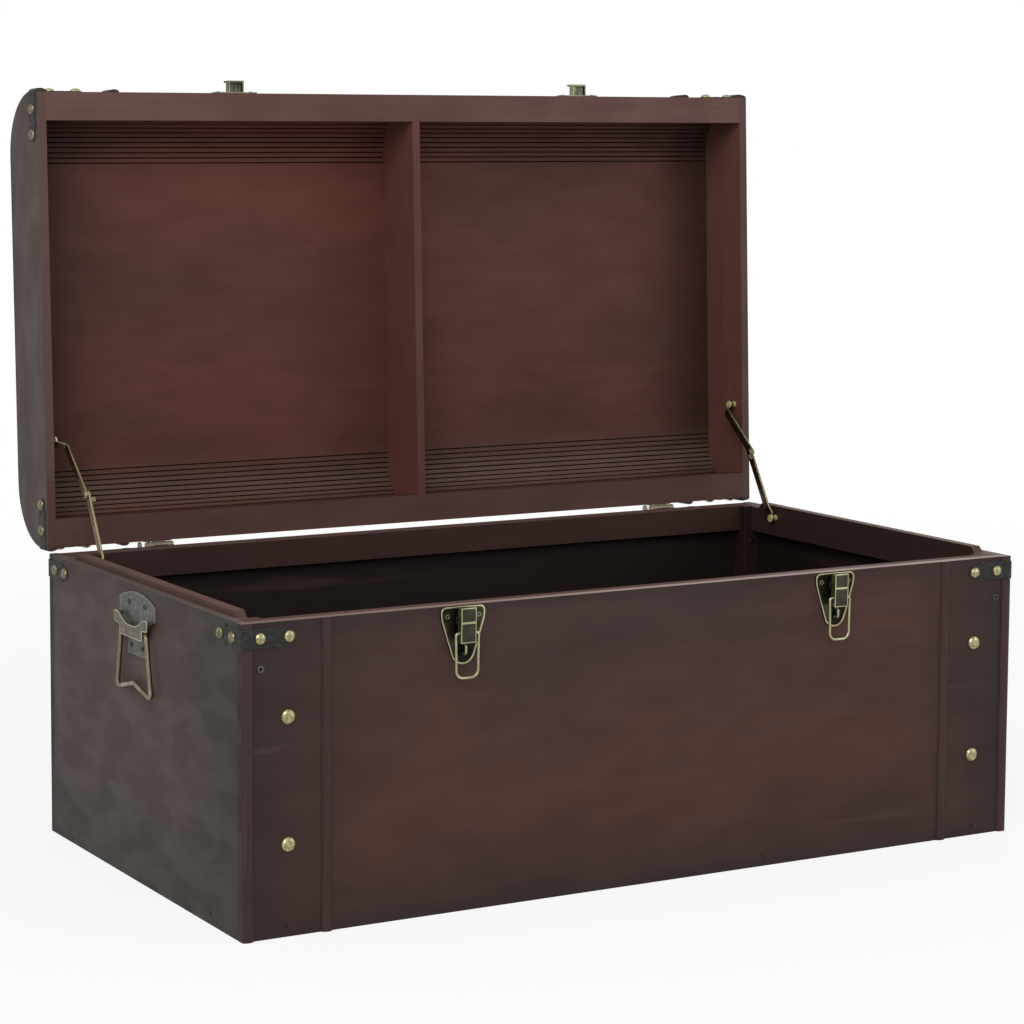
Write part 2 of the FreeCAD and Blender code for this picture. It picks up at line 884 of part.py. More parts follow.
def rim_rail(y0):
    """Rail along the rim, its outer corner planed to the skin's inner curve."""
    top = base_height + rim_rail_height
    rail = block(end_board, length - end_board, y0, y0 + rim_rail_width, base_height, top)
    return rail.common(lid_filling(skin, end_board, length - end_board))


def centre_rib():
    """Rib across the lid, notched over the rim rails."""
    x0 = half_length - rib_thickness / 2
    rib = lid_filling(skin, x0, x0 + rib_thickness)
    return rib.cut(rim_rail(skin)).cut(rim_rail(depth - skin - rim_rail_width))


def lid_bead(x0, width):
    """One bead over the lid, from the front rim to the back rim in short flats."""
    step = math.radians(90 / bead_shoulder_corners)
    reach = shoulder_radius / math.cos(step / 2)
    half_path = [(0, base_height)]
    for number in range(bead_shoulder_corners):
        angle = step * (number + 0.5)
        y = shoulder_radius - reach * math.cos(angle)
        z = base_height + wall_straight + reach * math.sin(angle)
        half_path.append((y, z))
    path = [Vector(x0, y, z) for y, z in half_path]
    path += [Vector(x0, depth - y, z) for y, z in reversed(half_path)]
    section = outline(bead_outline(x0, width), "xy", base_height)
    return Part.makePolygon(path).makePipeShell([section], True, False, mitred)


# Folding stays: where their pins lie as (y, z), with the lid open and shut

def about_hinge(y, z, degrees):
    """A point turned about the hinge pins; a positive turn shuts the lid."""
    turn = math.radians(degrees)
    out_y = y - hinge_y
    out_z = z - hinge_z
    new_y = hinge_y + out_y * math.cos(turn) - out_z * math.sin(turn)
    new_z = hinge_z + out_y * math.sin(turn) + out_z * math.cos(turn)
    return new_y, new_z


def elbow(base_pin, lid_pin):
    """The elbow's place, on the side that folds forward and down."""
    way_y = lid_pin[0] - base_pin[0]
    way_z = lid_pin[1] - base_pin[1]
    reach = math.hypot(way_y, way_z)
    along = (reach ** 2 + stay_lower_length ** 2 - stay_upper_length ** 2) / (2 * reach)
    off = math.sqrt(stay_lower_length ** 2 - along ** 2)
    y = base_pin[0] + (along * way_y - off * way_z) / reach
    z = base_pin[1] + (along * way_z + off * way_y) / reach
    return y, z


def heading(start, end):
    return math.degrees(math.atan2(end[1] - start[1], end[0] - start[0]))


stay_base_pin = (depth - stay_base_from_back, base_height - stay_base_below_rim)
stay_lid_pin_shut = (depth - stay_lid_from_back, base_height + stay_lid_above_rim)
stay_lid_pin = about_hinge(*stay_lid_pin_shut, -open_angle)
elbow_open = elbow(stay_base_pin, stay_lid_pin)

# The four layers of a left stay, by the face of each that is nearer the side panel
lower_foot_layer = inner + stay_rail_gap
lower_layer = lower_foot_layer + stay_lower_jog
upper_layer = lower_layer - stay_layer_gap - stay_sheet
upper_foot_layer = end_board + stay_lid_stand_off


def flat_link(span, foot_layer, main_layer, jog_start):
    """A flat bar along +Y with round ends, its foot set over by a jog and bored."""
    wide = stay_half_width
    thick = stay_sheet
    jog_end = jog_start + stay_jog_run
    far = span + wide
    strip = [
        (foot_layer, -wide),
        (foot_layer, jog_start),
        (main_layer, jog_end),
        (main_layer, far),
        (main_layer + thick, far),
        (main_layer + thick, jog_end),
        (foot_layer + thick, jog_start),
        (foot_layer + thick, -wide),
    ]
    plan = arc_points((0, 0), wide, 90, 270, stay_end_facets)
    plan += arc_points((span, 0), wide, -90, 90, stay_end_facets)
    lowest = min(foot_layer, main_layer) - overrun
    highest = max(foot_layer, main_layer) + thick + overrun
    link = slab(strip, "xy", -wide, wide).common(slab(plan, "yz", lowest, highest))
    return link.cut(bar_along_x(lowest, highest, 0, 0, stay_pin_radius + running_clearance))


def hung(link, pin, degrees):
    """A link modelled along +Y, turned to its heading and hung on its pin."""
    link = link.copy()
    link.rotate(Vector(0, 0, 0), along_x, degrees)
    link.translate(Vector(0, pin[0], pin[1]))
    return link


def stay_lower_link():
    """Link on the base, with half of the elbow's rivet and a thumb tab."""
    span = stay_lower_length
    link = flat_link(span, lower_foot_layer, lower_layer, stay_lower_jog_start)
    face = lower_layer + stay_sheet
    rivet = bar_along_x(face, face + stay_rivet_height, span, 0, stay_rivet_radius)
    tab_start = span - stay_tab_from_elbow
    tab_foot = stay_half_width - stay_sheet
    tab_top = face + stay_tab_height
    tab = block(lower_layer, tab_top, tab_start, tab_start + stay_tab_length, tab_foot, stay_half_width)
    return fused([link, rivet, tab])


def stay_upper_link():
    """Link on the lid, with the other half of the elbow's rivet."""
    span = stay_upper_length
    link = flat_link(span, upper_foot_layer, upper_layer, stay_upper_jog_start)
    rivet = bar_along_x(upper_layer - stay_rivet_height, upper_layer, span, 0, stay_rivet_radius)
    return fused([link, rivet])


def shoulder_screw(seat_x, link_x, pin):
    """Pin in the wood, with a bush under the link and a round head over it."""
    y, z = pin
    head_x = link_x + stay_sheet + running_clearance
    shank = bar_along_x(seat_x - stay_pin_depth, head_x, y, z, stay_pin_radius)
    bush = bar_along_x(seat_x, link_x - running_clearance, y, z, stay_bush_radius)
    head = bar_along_x(head_x, head_x + stay_head_height, y, z, stay_head_radius)
    return fused([shank, bush, head])


# Every piece in its place

os.makedirs("parts", exist_ok=True)
solids = {}

save("front_panel", block(0, length, 0, panel, 0, base_height))
save("back_panel", block(0, length, depth - panel, depth, 0, base_height))
side_panel = block(0, panel, panel, depth - panel, 0, base_height)
save("left_side_panel", side_panel)
save("right_side_panel", mirrored(side_panel))
bottom_top = bottom_lift + bottom_thickness
save("bottom_panel", block(panel, length - panel, panel, depth - panel, bottom_lift, bottom_top))

for row, post_y in (("front", panel), ("back", depth - panel - post)):
    batten = corner_post(panel, post_y)
    save(row + "_left_post", batten)
    save(row + "_right_post", mirrored(batten))
lip = lip_rail()
save("left_lip_rail", lip)
save("right_lip_rail", mirrored(lip))
save("front_inner_rail", long_rail(panel))
save("back_inner_rail", long_rail(depth - panel - rail_thickness))

save("front_beads", front_beads())
save("back_beads", behind(front_beads()))
save("base_corner_brackets", four_brackets(base_height - bracket_middle))
save("base_bracket_nails", bracket_nails(base_height - bracket_middle))
save("band_nails", band_nails())

for side, centre in latch_centres.items():
    save(side + "_latch_plate", latch_plate(centre))
    save(side + "_latch_lever", latch_lever(centre))
    save(side + "_latch_loop", latch_loop(centre))
    save(side + "_lid_catch", hook_catch(centre), True)

plate = handle_back_plate()
strap = handle_strap()
bail = handle_bail()
save("left_handle_plate", plate)
save("right_handle_plate", mirrored(plate))
save("left_handle_strap", strap)
save("right_handle_strap", mirrored(strap))
save("left_handle_bail", bail)
save("right_handle_bail", mirrored(bail))

for side, centre in hinge_centres.items():
    save(side + "_hinge_base_leaf", hinge_base_leaf(centre))
    save(side + "_hinge_lid_leaf", hinge_lid_leaf(centre), True)

lid_end = lid_left_end()
save("lid_skin", lid_skin(), True)
save("lid_left_end", lid_end, True)
save("lid_right_end", mirrored(lid_end), True)
save("lid_front_rail", rim_rail(skin), True)
save("lid_back_rail", rim_rail(depth - skin - rim_rail_width), True)
save("lid_centre_rib", centre_rib(), True)
save("lid_beads", Part.makeCompound([lid_bead(x, width) for x, width in bead_runs]), True)
save("lid_corner_brackets", four_brackets(base_height + bracket_middle), True)
save("lid_bracket_nails", bracket_nails(base_height + bracket_middle), True)

lower_link = hung(stay_lower_link(), stay_base_pin, heading(stay_base_pin, elbow_open))
upper_link = hung(stay_upper_link(), stay_lid_pin, heading(stay_lid_pin, elbow_open))
save("left_stay_lower_link", lower_link)
save("right_stay_lower_link", mirrored(lower_link))
save("left_stay_upper_link", upper_link)
save("right_stay_upper_link", mirrored(upper_link))
base_pivot = shoulder_screw(inner, lower_foot_layer, stay_base_pin)
save("stay_base_pivots", Part.makeCompound([base_pivot, mirrored(base_pivot)]))
lid_pivot = shoulder_screw(end_board, upper_foot_layer, stay_lid_pin_shut)
save("stay_lid_pivots", Part.makeCompound([lid_pivot, mirrored(lid_pivot)]), True)
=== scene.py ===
import json
import math

import bmesh
import bpy
from mathutils import Matrix, Vector


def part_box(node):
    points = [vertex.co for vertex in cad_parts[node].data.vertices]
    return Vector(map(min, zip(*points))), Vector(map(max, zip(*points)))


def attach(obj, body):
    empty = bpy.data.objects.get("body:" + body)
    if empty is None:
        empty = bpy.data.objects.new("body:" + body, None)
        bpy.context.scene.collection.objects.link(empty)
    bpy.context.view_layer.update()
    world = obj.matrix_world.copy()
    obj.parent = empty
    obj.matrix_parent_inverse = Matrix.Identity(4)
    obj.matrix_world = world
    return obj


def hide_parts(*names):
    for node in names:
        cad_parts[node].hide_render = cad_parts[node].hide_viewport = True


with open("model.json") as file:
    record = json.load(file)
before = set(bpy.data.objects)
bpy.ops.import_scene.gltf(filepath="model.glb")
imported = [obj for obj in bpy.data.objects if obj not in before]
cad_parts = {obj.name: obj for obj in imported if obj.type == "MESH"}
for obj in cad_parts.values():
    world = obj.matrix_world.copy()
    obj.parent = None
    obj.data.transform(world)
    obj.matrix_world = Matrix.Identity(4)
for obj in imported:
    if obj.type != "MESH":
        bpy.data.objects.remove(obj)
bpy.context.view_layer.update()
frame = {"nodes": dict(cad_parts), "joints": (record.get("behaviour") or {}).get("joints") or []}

# Lengths are metres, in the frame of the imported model: the chest stands on the floor
# with its front towards -Y and its lid open.

RIGHT = Vector((1, 0, 0))
LEFT = Vector((-1, 0, 0))
FRONT = Vector((0, -1, 0))
BACK = Vector((0, 1, 0))
UP = Vector((0, 0, 1))
DOWN = Vector((0, 0, -1))

nodes = frame["nodes"]

# The carcase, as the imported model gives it
front_low, front_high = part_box("front_panel")
_, back_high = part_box("back_panel")
side_low, side_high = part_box("left_side_panel")
half_length = front_high[0]
front_face = front_low[1]
back_face = back_high[1]
middle_y = (front_face + back_face) / 2
rim = front_high[2]

# The lid's hinge line, and the turn that carries a shape from shut to open
hinge_joint = next(joint for joint in frame["joints"] if joint["name"] == "lid_hinge")
hinge_point = Vector(hinge_joint["pos_m"])
open_angle = math.radians(hinge_joint["range_deg"][1])
opened = (
    Matrix.Translation(hinge_point)
    @ Matrix.Rotation(-open_angle, 4, "X")
    @ Matrix.Translation(-hinge_point)
)
rim_out = opened.to_3x3() @ DOWN

# Copies to the right and to the back, and the standing of a shape drawn flat:
# on the front, its X goes right and its Y up; on the left side, its X goes back
to_right = Matrix.Diagonal((-1, 1, 1, 1))
to_back = Matrix.Translation((0, 2 * middle_y, 0)) @ Matrix.Diagonal((1, -1, 1, 1))
on_front = Matrix(((1, 0, 0, 0), (0, 0, -1, front_face), (0, 1, 0, 0), (0, 0, 0, 1)))
upright_on_front = Matrix(((1, 0, 0, 0), (0, 0, -1, 0), (0, 1, 0, 0), (0, 0, 0, 1)))
on_left = Matrix(((0, 0, -1, -half_length), (1, 0, 0, front_face), (0, 1, 0, 0), (0, 0, 0, 1)))

# The lid: its shoulders, the straight wall below them, and its bays inside the end boards
lid_shoulder = 0.058
lid_wall = 0.017
bay_inset = 0.012

# Half-round beads
corner_bead_width = 0.0102
band_bead_width = 0.0096
bead_proud = 0.0028
bead_gap = 0.0003
bead_steps = 14
shoulder_steps = 14
band_bead_inset = 0.0775

# Domed nails
nail_radius = 0.00515
nail_height = 0.0028
big_nail_radius = 0.00675
big_nail_height = 0.0036
big_nail_inset = 0.042
big_nail_heights = (rim - 0.080, 0.078)

# Corner brackets
bracket_sheet = 0.001
bracket_middle = 0.013
base_bracket_z = rim - bracket_middle
lid_bracket_z = rim + bracket_middle
bracket_half_height = 0.008
bracket_front_nails = (0.0165, 0.043)
bracket_side_nails = (0.016, 0.040)

# Toggle latches: the plate's rolled rim stands around its dished floor
latch_middle = 0.19435
latch_top = rim - 0.0008
latch_rim = 0.0018
latch_floor = 0.0012
latch_nail_apart = 0.0150
latch_nail_z = latch_top - 0.0082
lever_pin_z = latch_top - 0.0058
lever_pin_proud = 0.0082
loop_pin_z = latch_top - 0.022
loop_proud = 0.0086
loop_radius = 0.00125
loop_foot_z = 0.20387
boss_z = latch_top - 0.0365
lever_sheet = 0.001
catch_sheet = 0.0013
catch_nail_apart = 0.0175
catch_nail_z = rim + 0.009

# Side handles
handle_z = rim - 0.039
handle_sheet = 0.0015
bail_proud = 0.0046
bail_radius = 0.0021
strap_sheet = 0.00105
strap_inner = bail_proud + bail_radius + 0.0003
strap_overlap = 0.0002

# Hinges
hinge_inset = 0.113
hinge_leaf = 0.0012
hinge_screw_apart = 0.008
hinge_base_screw_z = rim - 0.014
hinge_lid_screw_z = rim + 0.0085

# Screws of the bottom board, corner bolts and their nuts in the posts
bottom_screw_z = 0.0095
bottom_screw_across = (-0.36, -0.12, 0.12, 0.36)
bottom_screw_inset = 0.064
bolt_z = 0.2265
bolt_inset = 0.0172
nut_inset = 0.027

wire_sides = 16
wire_bend_steps = 8
weld = 0.000001
sheet_crisp = 12


# Meshes

def shade(work, crisp=35):
    """Smooth shading, with the edges that turn more than crisp degrees kept sharp."""
    bmesh.ops.recalc_face_normals(work, faces=work.faces)
    for face in work.faces:
        face.smooth = True
    for edge in work.edges:
        edge.smooth = edge.is_manifold and edge.calc_face_angle() < math.radians(crisp)
    return work


def new_piece(name, work, finish, body, replaced=()):
    """Turn a bmesh into a piece with its finish, or several, that rides on a body."""
    bmesh.ops.recalc_face_normals(work, faces=work.faces)
    mesh = bpy.data.meshes.new(name)
    work.to_mesh(mesh)
    work.free()
    for layer in finish if isinstance(finish, tuple) else (finish,):
        mesh.materials.append(layer)
    piece = bpy.data.objects.new(name, mesh)
    bpy.context.scene.collection.objects.link(piece)
    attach(piece, body)
    if replaced:
        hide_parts(*replaced)
    return piece


def coated(work, layer):
    """The work with all its faces in another of the piece's finishes."""
    for face in work.faces:
        face.material_index = layer
    return work


def moved(work, *places):
    """The work carried through matrices, the last one first."""
    for place in reversed(places):
        bmesh.ops.transform(work, matrix=place, verts=work.verts)
    return work


def pattern_of(work):
    mesh = bpy.data.meshes.new("pattern")
    work.to_mesh(mesh)
    work.free()
    return mesh


def stamp(work, pattern, place):
    """Add a copy of a pattern mesh to the work, moved by a matrix."""
    before = set(work.verts)
    work.from_mesh(pattern)
    fresh = [vertex for vertex in work.verts if vertex not in before]
    bmesh.ops.transform(work, matrix=place, verts=fresh)


def stamped(pattern, places):
    work = bmesh.new()
    for place in places:
        stamp(work, pattern, place)
    return work


def joined(works):
    """Several bmeshes as one."""
    whole = bmesh.new()
    for work in works:
        stamp(whole, pattern_of(work), Matrix.Identity(4))
    return whole


def facing(place, outward):
    """The matrix that takes +Z to the outward way, at a place."""
    turn = UP.rotation_difference(outward).to_matrix().to_4x4()
    return Matrix.Translation(place) @ turn


def of_kind(made, kind):
    return [item for item in made if isinstance(item, kind)]


def each_once(items):
    """The items in their order, without repeats."""
    return list(dict.fromkeys(items))


def run_on(work, loop, way):
    """Carry a loop of edges straight on, and give the new loop."""
    made = bmesh.ops.extrude_edge_only(work, edges=loop)["geom"]
    verts = of_kind(made, bmesh.types.BMVert)
    bmesh.ops.translate(work, vec=way, verts=verts)
    ends = set(verts)
    return [edge for edge in of_kind(made, bmesh.types.BMEdge) if set(edge.verts) <= ends]


def bend_on(work, loop, centre, axis, angle, steps):
    """Carry a loop of edges round a bend, and give the new loop."""
    verts = each_once(vertex for edge in loop for vertex in edge.verts)
    made = bmesh.ops.spin(work, geom=verts + loop, cent=centre, axis=axis, angle=angle, steps=steps)
    return of_kind(made["geom_last"], bmesh.types.BMEdge)


def cap(work, *loops):
    for loop in loops:
        bmesh.ops.contextual_create(work, geom=loop)


def wire(points, bends, radius):
    """A round wire through straight runs joined by tangent bends."""
    work = bmesh.new()
    points = [Vector(point) for point in points]
    place = facing(points[0], (points[1] - points[0]).normalized())
    circle = bmesh.ops.create_circle(work, segments=wire_sides, radius=radius, matrix=place)
    start_loop = each_once(edge for vertex in circle["verts"] for edge in vertex.link_edges)
    loop = start_loop
    last = points[0]
    for index, bend in enumerate(bends):
        corner = points[index + 1]
        way_in = (corner - points[index]).normalized()
        way_out = (points[index + 2] - corner).normalized()
        turn = way_in.angle(way_out)
        setback = bend * math.tan(turn / 2)
        start = corner - way_in * setback
        inward = (way_out - way_in).normalized()
        centre = corner + inward * (bend / math.cos(turn / 2))
        loop = run_on(work, loop, start - last)
        loop = bend_on(work, loop, centre, way_in.cross(way_out), turn, wire_bend_steps)
        last = corner + way_out * setback
    loop = run_on(work, loop, points[-1] - last)
    cap(work, start_loop, loop)
    bmesh.ops.remove_doubles(work, verts=work.verts, dist=weld)
    return shade(work)


def soften_edges(work, edges, width, steps=3):
    bmesh.ops.bevel(work, geom=edges, offset=width, offset_type="OFFSET", segments=steps,
                    profile=0.5, affect="EDGES", material=-1, clamp_overlap=True)


def sheet(corners, thickness, soft, steps=6):
    """A flat sheet that rises along +Z; each corner is X, Y and how far its rounding sets back."""
    work = bmesh.new()
    verts = [bmesh.ops.create_vert(work, co=(x, y, 0))["vert"][0] for x, y, setback in corners]
    edges = [work.edges.new((verts[index - 1], vertex)) for index, vertex in enumerate(verts)]
    cap(work, edges)
    for vertex, corner in zip(verts, corners):
        if corner[2]:
            bmesh.ops.bevel(work, geom=[vertex], offset=corner[2], offset_type="OFFSET", segments=steps,
                            profile=0.5, affect="VERTICES", material=-1)
    made = bmesh.ops.extrude_face_region(work, geom=work.faces[:])["geom"]
    bmesh.ops.translate(work, vec=(0, 0, thickness), verts=of_kind(made, bmesh.types.BMVert))
    bmesh.ops.holes_fill(work, edges=work.edges, sides=0)
    if soft:
        top = of_kind(made, bmesh.types.BMFace)[0]
        soften_edges(work, top.edges[:], soft)
    return shade(work, sheet_crisp)


def framed(work, width):
    """The sheet all in its second finish, but for its top face inside a border."""
    coated(work, 1)
    top = max(work.faces, key=lambda face: (round(face.calc_center_median().z, 5), face.calc_area()))
    bmesh.ops.inset_region(work, faces=[top], thickness=width, use_even_offset=True)
    top.material_index = 0
    return shade(work, sheet_crisp)


def both_sides(half_outline):
    """An outline mirrored about its middle line, from the right half given top to bottom."""
    return half_outline + [(-x, y, setback) for x, y, setback in reversed(half_outline)]


def round_bar(radius, start, end, soft=0.0):
    """A straight round bar between two places along +Z."""
    work = bmesh.new()
    place = Matrix.Translation((0, 0, (start + end) / 2))
    bmesh.ops.create_cone(work, segments=24, radius1=radius, radius2=radius, depth=end - start,
                          cap_ends=True, matrix=place)
    if soft:
        ends = [edge for edge in work.edges if abs(edge.calc_face_angle() - math.pi / 2) < 0.1]
        soften_edges(work, ends, soft, 2)
    return shade(work)


def dome(radius, height):
    """A domed head that stands on its rim, up along +Z."""
    work = bmesh.new()
    bmesh.ops.create_uvsphere(work, u_segments=24, v_segments=12, radius=1)
    everything = work.verts[:] + work.edges[:] + work.faces[:]
    bmesh.ops.bisect_plane(work, geom=everything, plane_co=(0, 0, 0), plane_no=UP, clear_inner=True)
    cap(work, [edge for edge in work.edges if edge.is_boundary])
    bmesh.ops.scale(work, vec=(radius, radius, height), verts=work.verts)
    return shade(work)


def sunk_head(radius, height, wall):
    """A small round head with a hole sunk in it, up along +Z, the hole's floor in the second finish as
    painted shade; wall is the ring's share.
    """
    top_radius = radius * 0.84
    hole_slope = radius * 0.06
    hole_depth = height * 0.8
    work = bmesh.new()
    bmesh.ops.create_cone(work, segments=24, radius1=radius, radius2=top_radius, depth=height,
                          cap_ends=True, matrix=Matrix.Translation((0, 0, height / 2)))
    top = max(work.faces, key=lambda face: face.calc_center_median().z)
    bmesh.ops.inset_region(work, faces=[top], thickness=radius * wall, use_even_offset=True)
    bmesh.ops.inset_region(work, faces=[top], thickness=hole_slope, depth=-hole_depth,
                           use_even_offset=True)
    # The hole's floor takes the second finish, painted shade
    top.material_index = 1
    return shade(work)


def half_round_loop(work, centre_x, y, z, half_width, proud):
    """The closed outline of a bead: a half ellipse in front of the plane at y."""
    start = bmesh.ops.create_vert(work, co=(centre_x - half_width, y, z))["vert"]
    centre = (centre_x, y, z)
    bmesh.ops.spin(work, geom=start, cent=centre, axis=UP, angle=math.pi, steps=bead_steps)
    verts = sorted(work.verts, key=lambda vertex: vertex.co.x)
    cap(work, [verts[0], verts[-1]])
    bmesh.ops.scale(work, vec=(1, proud / half_width, 1), space=Matrix.Translation(-Vector(centre)),
                    verts=work.verts)
    return work.edges[:]


# Finishes

def paint(red, green, blue):
    """A colour as it shows on a screen, 0 to 255, for a shader."""
    shares = []
    for value in (red, green, blue):
        share = value / 255
        if share <= 0.04045:
            shares.append(share / 12.92)
        else:
            shares.append(((share + 0.055) / 1.055) ** 2.4)
    return (*shares, 1)


class Nodes:
    """A node tree, with short ways to wire it."""

    def __init__(self, tree):
        self.tree = tree

    def node(self, kind, **settings):
        made = self.tree.nodes.new(kind)
        for key, value in settings.items():
            setattr(made, key, value)
        return made

    def plug(self, value, socket):
        if isinstance(value, bpy.types.NodeSocket):
            self.tree.links.new(value, socket)
        else:
            socket.default_value = value

    def math(self, operation, first, second):
        made = self.node("ShaderNodeMath", operation=operation)
        self.plug(first, made.inputs[0])
        self.plug(second, made.inputs[1])
        return made.outputs["Value"]

    def between(self, value, low, high, first=0.0, second=1.0):
        """value mapped smoothly from low..high to first..second."""
        made = self.node("ShaderNodeMapRange", interpolation_type="SMOOTHSTEP")
        self.plug(value, made.inputs["Value"])
        made.inputs["From Min"].default_value = low
        made.inputs["From Max"].default_value = high
        made.inputs["To Min"].default_value = first
        made.inputs["To Max"].default_value = second
        return made.outputs["Result"]

    def in_sight(self):
        """1 for what is seen straight, in a mirror or through glass; 0 for soft light."""
        path = self.node("ShaderNodeLightPath").outputs
        mirrored = self.math("MAXIMUM", path["Is Glossy Ray"], path["Is Transmission Ray"])
        return self.math("MAXIMUM", path["Is Camera Ray"], mirrored)


class Finish(Nodes):
    """A material, with short ways to colour it."""

    def __init__(self, name):
        self.material = bpy.data.materials.new(name)
        self.material.use_nodes = True
        super().__init__(self.material.node_tree)
        self.shader = self.tree.nodes["Principled BSDF"]
        self.coords = self.node("ShaderNodeTexCoord")

    def set(self, socket, value):
        self.plug(value, self.shader.inputs[socket])

    def noise(self, scale, detail, stretch=(1, 1, 1), location=(0, 0, 0), distortion=0.0, rough=0.5):
        place = self.node("ShaderNodeMapping")
        self.plug(self.coords.outputs["Object"], place.inputs["Vector"])
        self.plug(location, place.inputs["Location"])
        self.plug(stretch, place.inputs["Scale"])
        made = self.node("ShaderNodeTexNoise")
        self.plug(place.outputs["Vector"], made.inputs["Vector"])
        self.plug(scale, made.inputs["Scale"])
        self.plug(detail, made.inputs["Detail"])
        self.plug(rough, made.inputs["Roughness"])
        self.plug(distortion, made.inputs["Distortion"])
        return made.outputs["Fac"]

    def mix(self, factor, first, second, blend="MIX"):
        made = self.node("ShaderNodeMix", data_type="RGBA", blend_type=blend)
        factor_socket, *colours = [socket for socket in made.inputs if socket.enabled]
        self.plug(factor, factor_socket)
        self.plug(first, colours[0])
        self.plug(second, colours[1])
        return next(socket for socket in made.outputs if socket.enabled)

    def toned(self, colour, tone):
        """The colour made lighter or darker by a tone around 1."""
        grey = self.node("ShaderNodeCombineColor")
        for channel in grey.inputs[:3]:
            self.plug(tone, channel)
        return self.mix(1.0, colour, grey.outputs[0], "MULTIPLY")

    def along(self, axis):
        """The object coordinate along X, Y or Z, as 0, 1 or 2."""
        made = self.node("ShaderNodeSeparateXYZ")
        self.plug(self.coords.outputs["Object"], made.inputs[0])
        return made.outputs[axis]

    def facing(self, way):
        """1 where the surface looks along a way of the piece's own frame."""
        made = self.node("ShaderNodeVectorMath", operation="DOT_PRODUCT")
        self.plug(self.coords.outputs["Normal"], made.inputs[0])
        made.inputs[1].default_value = way
        return self.between(made.outputs["Value"], 0.6, 0.9)

    def soften(self, radius):
        bevel = self.node("ShaderNodeBevel", samples=4)
        self.plug(radius, bevel.inputs["Radius"])
        return bevel.outputs["Normal"]

    def edge(self, radius, low, high):
        """1 along the edges, 0 on flats."""
        flat = self.node("ShaderNodeNewGeometry")
        dot = self.node("ShaderNodeVectorMath", operation="DOT_PRODUCT")
        self.plug(self.soften(radius), dot.inputs[0])
        self.plug(flat.outputs["Normal"], dot.inputs[1])
        return self.between(self.math("SUBTRACT", 1.0, dot.outputs["Value"]), low, high)

    def bump(self, height, strength, distance, normal):
        made = self.node("ShaderNodeBump")
        self.plug(strength, made.inputs["Strength"])
        self.plug(distance, made.inputs["Distance"])
        self.plug(height, made.inputs["Height"])
        self.plug(normal, made.inputs["Normal"])
        return made.outputs["Normal"]

    def border(self, edges, width, start, uneven):
        """1 at the edges of a board, fading to 0 inside, wider here and there.

        Each edge is an axis, its place along it, and 1 or -1 for the way into the board."""
        cloud = self.noise(7, 3, location=start, distortion=0.6)
        wander = self.between(cloud, 0.3, 0.7, 1 - uneven, 1 + uneven)
        nearest = None
        for axis, place, sign in edges:
            away = self.math("MULTIPLY", self.math("SUBTRACT", self.along(axis), place), sign)
            nearest = away if nearest is None else self.math("MINIMUM", nearest, away)
        share = self.math("DIVIDE", nearest, self.math("MULTIPLY", wander, width))
        return self.between(share, 0.0, 1.0, 1.0, 0.0)


def board_edges(low, high, axes):
    """Both edges of a board along each axis, as border takes them."""
    edges = []
    for axis in axes:
        edges.append((axis, low[axis], 1))
        edges.append((axis, high[axis], -1))
    return edges


# Stain: the colour of rubbed arrises, and how far clouds and fibres stretch along the grain
worn_wood = paint(100, 76, 70)
cloud_stretch = 0.45
fibre_stretch = 0.07
wood_shine = 0.12


def wood(name, colour, patch, shadow, grain=0, start=(0, 0, 0), edges=(), dark=(48, 40, 38),
         width=0.03, painted_shade=(), wide=0.15, faces=(), wear=0.6):
    """Stained board: soft clouds of three tones, faint fibres along the grain, its edges darkened in a
    narrow uneven band (painted shade in the corners of the lid's bays), a broad painted shade towards
    some edges, faces that take a tone of their own by the way they look (a painted highlight on some,
    painted shade on others, their own colour on the rest), and arrises rubbed pale.

    Each of faces is a way it looks, its tone or its two cloud tones, and its limits: an axis each,
    with the places where it is full and where it is gone."""
    finish = Finish(name)
    long_way = [1.0, 1.0, 1.0]
    long_way[grain] = cloud_stretch
    fibre_way = [1.0, 1.0, 1.0]
    fibre_way[grain] = fibre_stretch
    second = [place + 3.1 for place in start]
    cloud = finish.between(finish.noise(3.6, 3, long_way, start, 0.4), 0.34, 0.68)
    veil = finish.between(finish.noise(5.2, 4, long_way, second, 0.6), 0.42, 0.74, 0.0, 0.7)
    base = finish.mix(cloud, paint(*colour), paint(*patch))
    base = finish.mix(veil, base, paint(*shadow))
    # Two darker bands: a broad painted shade towards some edges, and a narrow uneven one along the
    # edges, painted shade in the corners of the lid's bays
    for places, reach, depth, uneven in ((painted_shade, wide, 0.85, 0.2), (edges, width, 0.6, 0.7)):
        if places:
            share = finish.math("MULTIPLY", finish.border(places, reach, second, uneven), depth)
            base = finish.mix(share, base, paint(*dark))
    mottle = finish.between(finish.noise(38, 4, long_way, start, 0.3), 0.3, 0.7, 0.94, 1.06)
    for way, tone, *limits in faces:
        share = finish.facing(way)
        for axis, full, none in limits:
            fading = finish.between(finish.along(axis), full, none, 1.0, 0.0)
            share = finish.math("MULTIPLY", share, fading)
        tones = [paint(*colours) for colours in (tone if len(tone) == 2 else (tone, tone))]
        base = finish.mix(share, base, finish.mix(cloud, *tones))
    fibres = finish.noise(150, 4, fibre_way, start, 0.2, 0.6)
    streaks = finish.between(fibres, 0.3, 0.7, 0.95, 1.05)
    base = finish.toned(base, finish.math("MULTIPLY", mottle, streaks))
    flecks = finish.between(finish.noise(46, 2, fibre_way, second, 0.4), 0.66, 0.78, 0.0, 0.2)
    base = finish.mix(flecks, base, worn_wood)
    patchy = finish.between(finish.noise(45, 3, location=start), 0.38, 0.66, 0.1, wear)
    rubbed = finish.math("MULTIPLY", finish.edge(0.0011, 0.03, 0.3), patchy)
    finish.set("Base Color", finish.mix(rubbed, base, worn_wood))
    finish.set("Roughness", finish.between(mottle, 0.94, 1.06, 0.64, 0.52))
    finish.set("Specular IOR Level", wood_shine)
    finish.set("Normal", finish.bump(fibres, 0.1, 0.0002, finish.soften(0.0007)))
    return finish.material


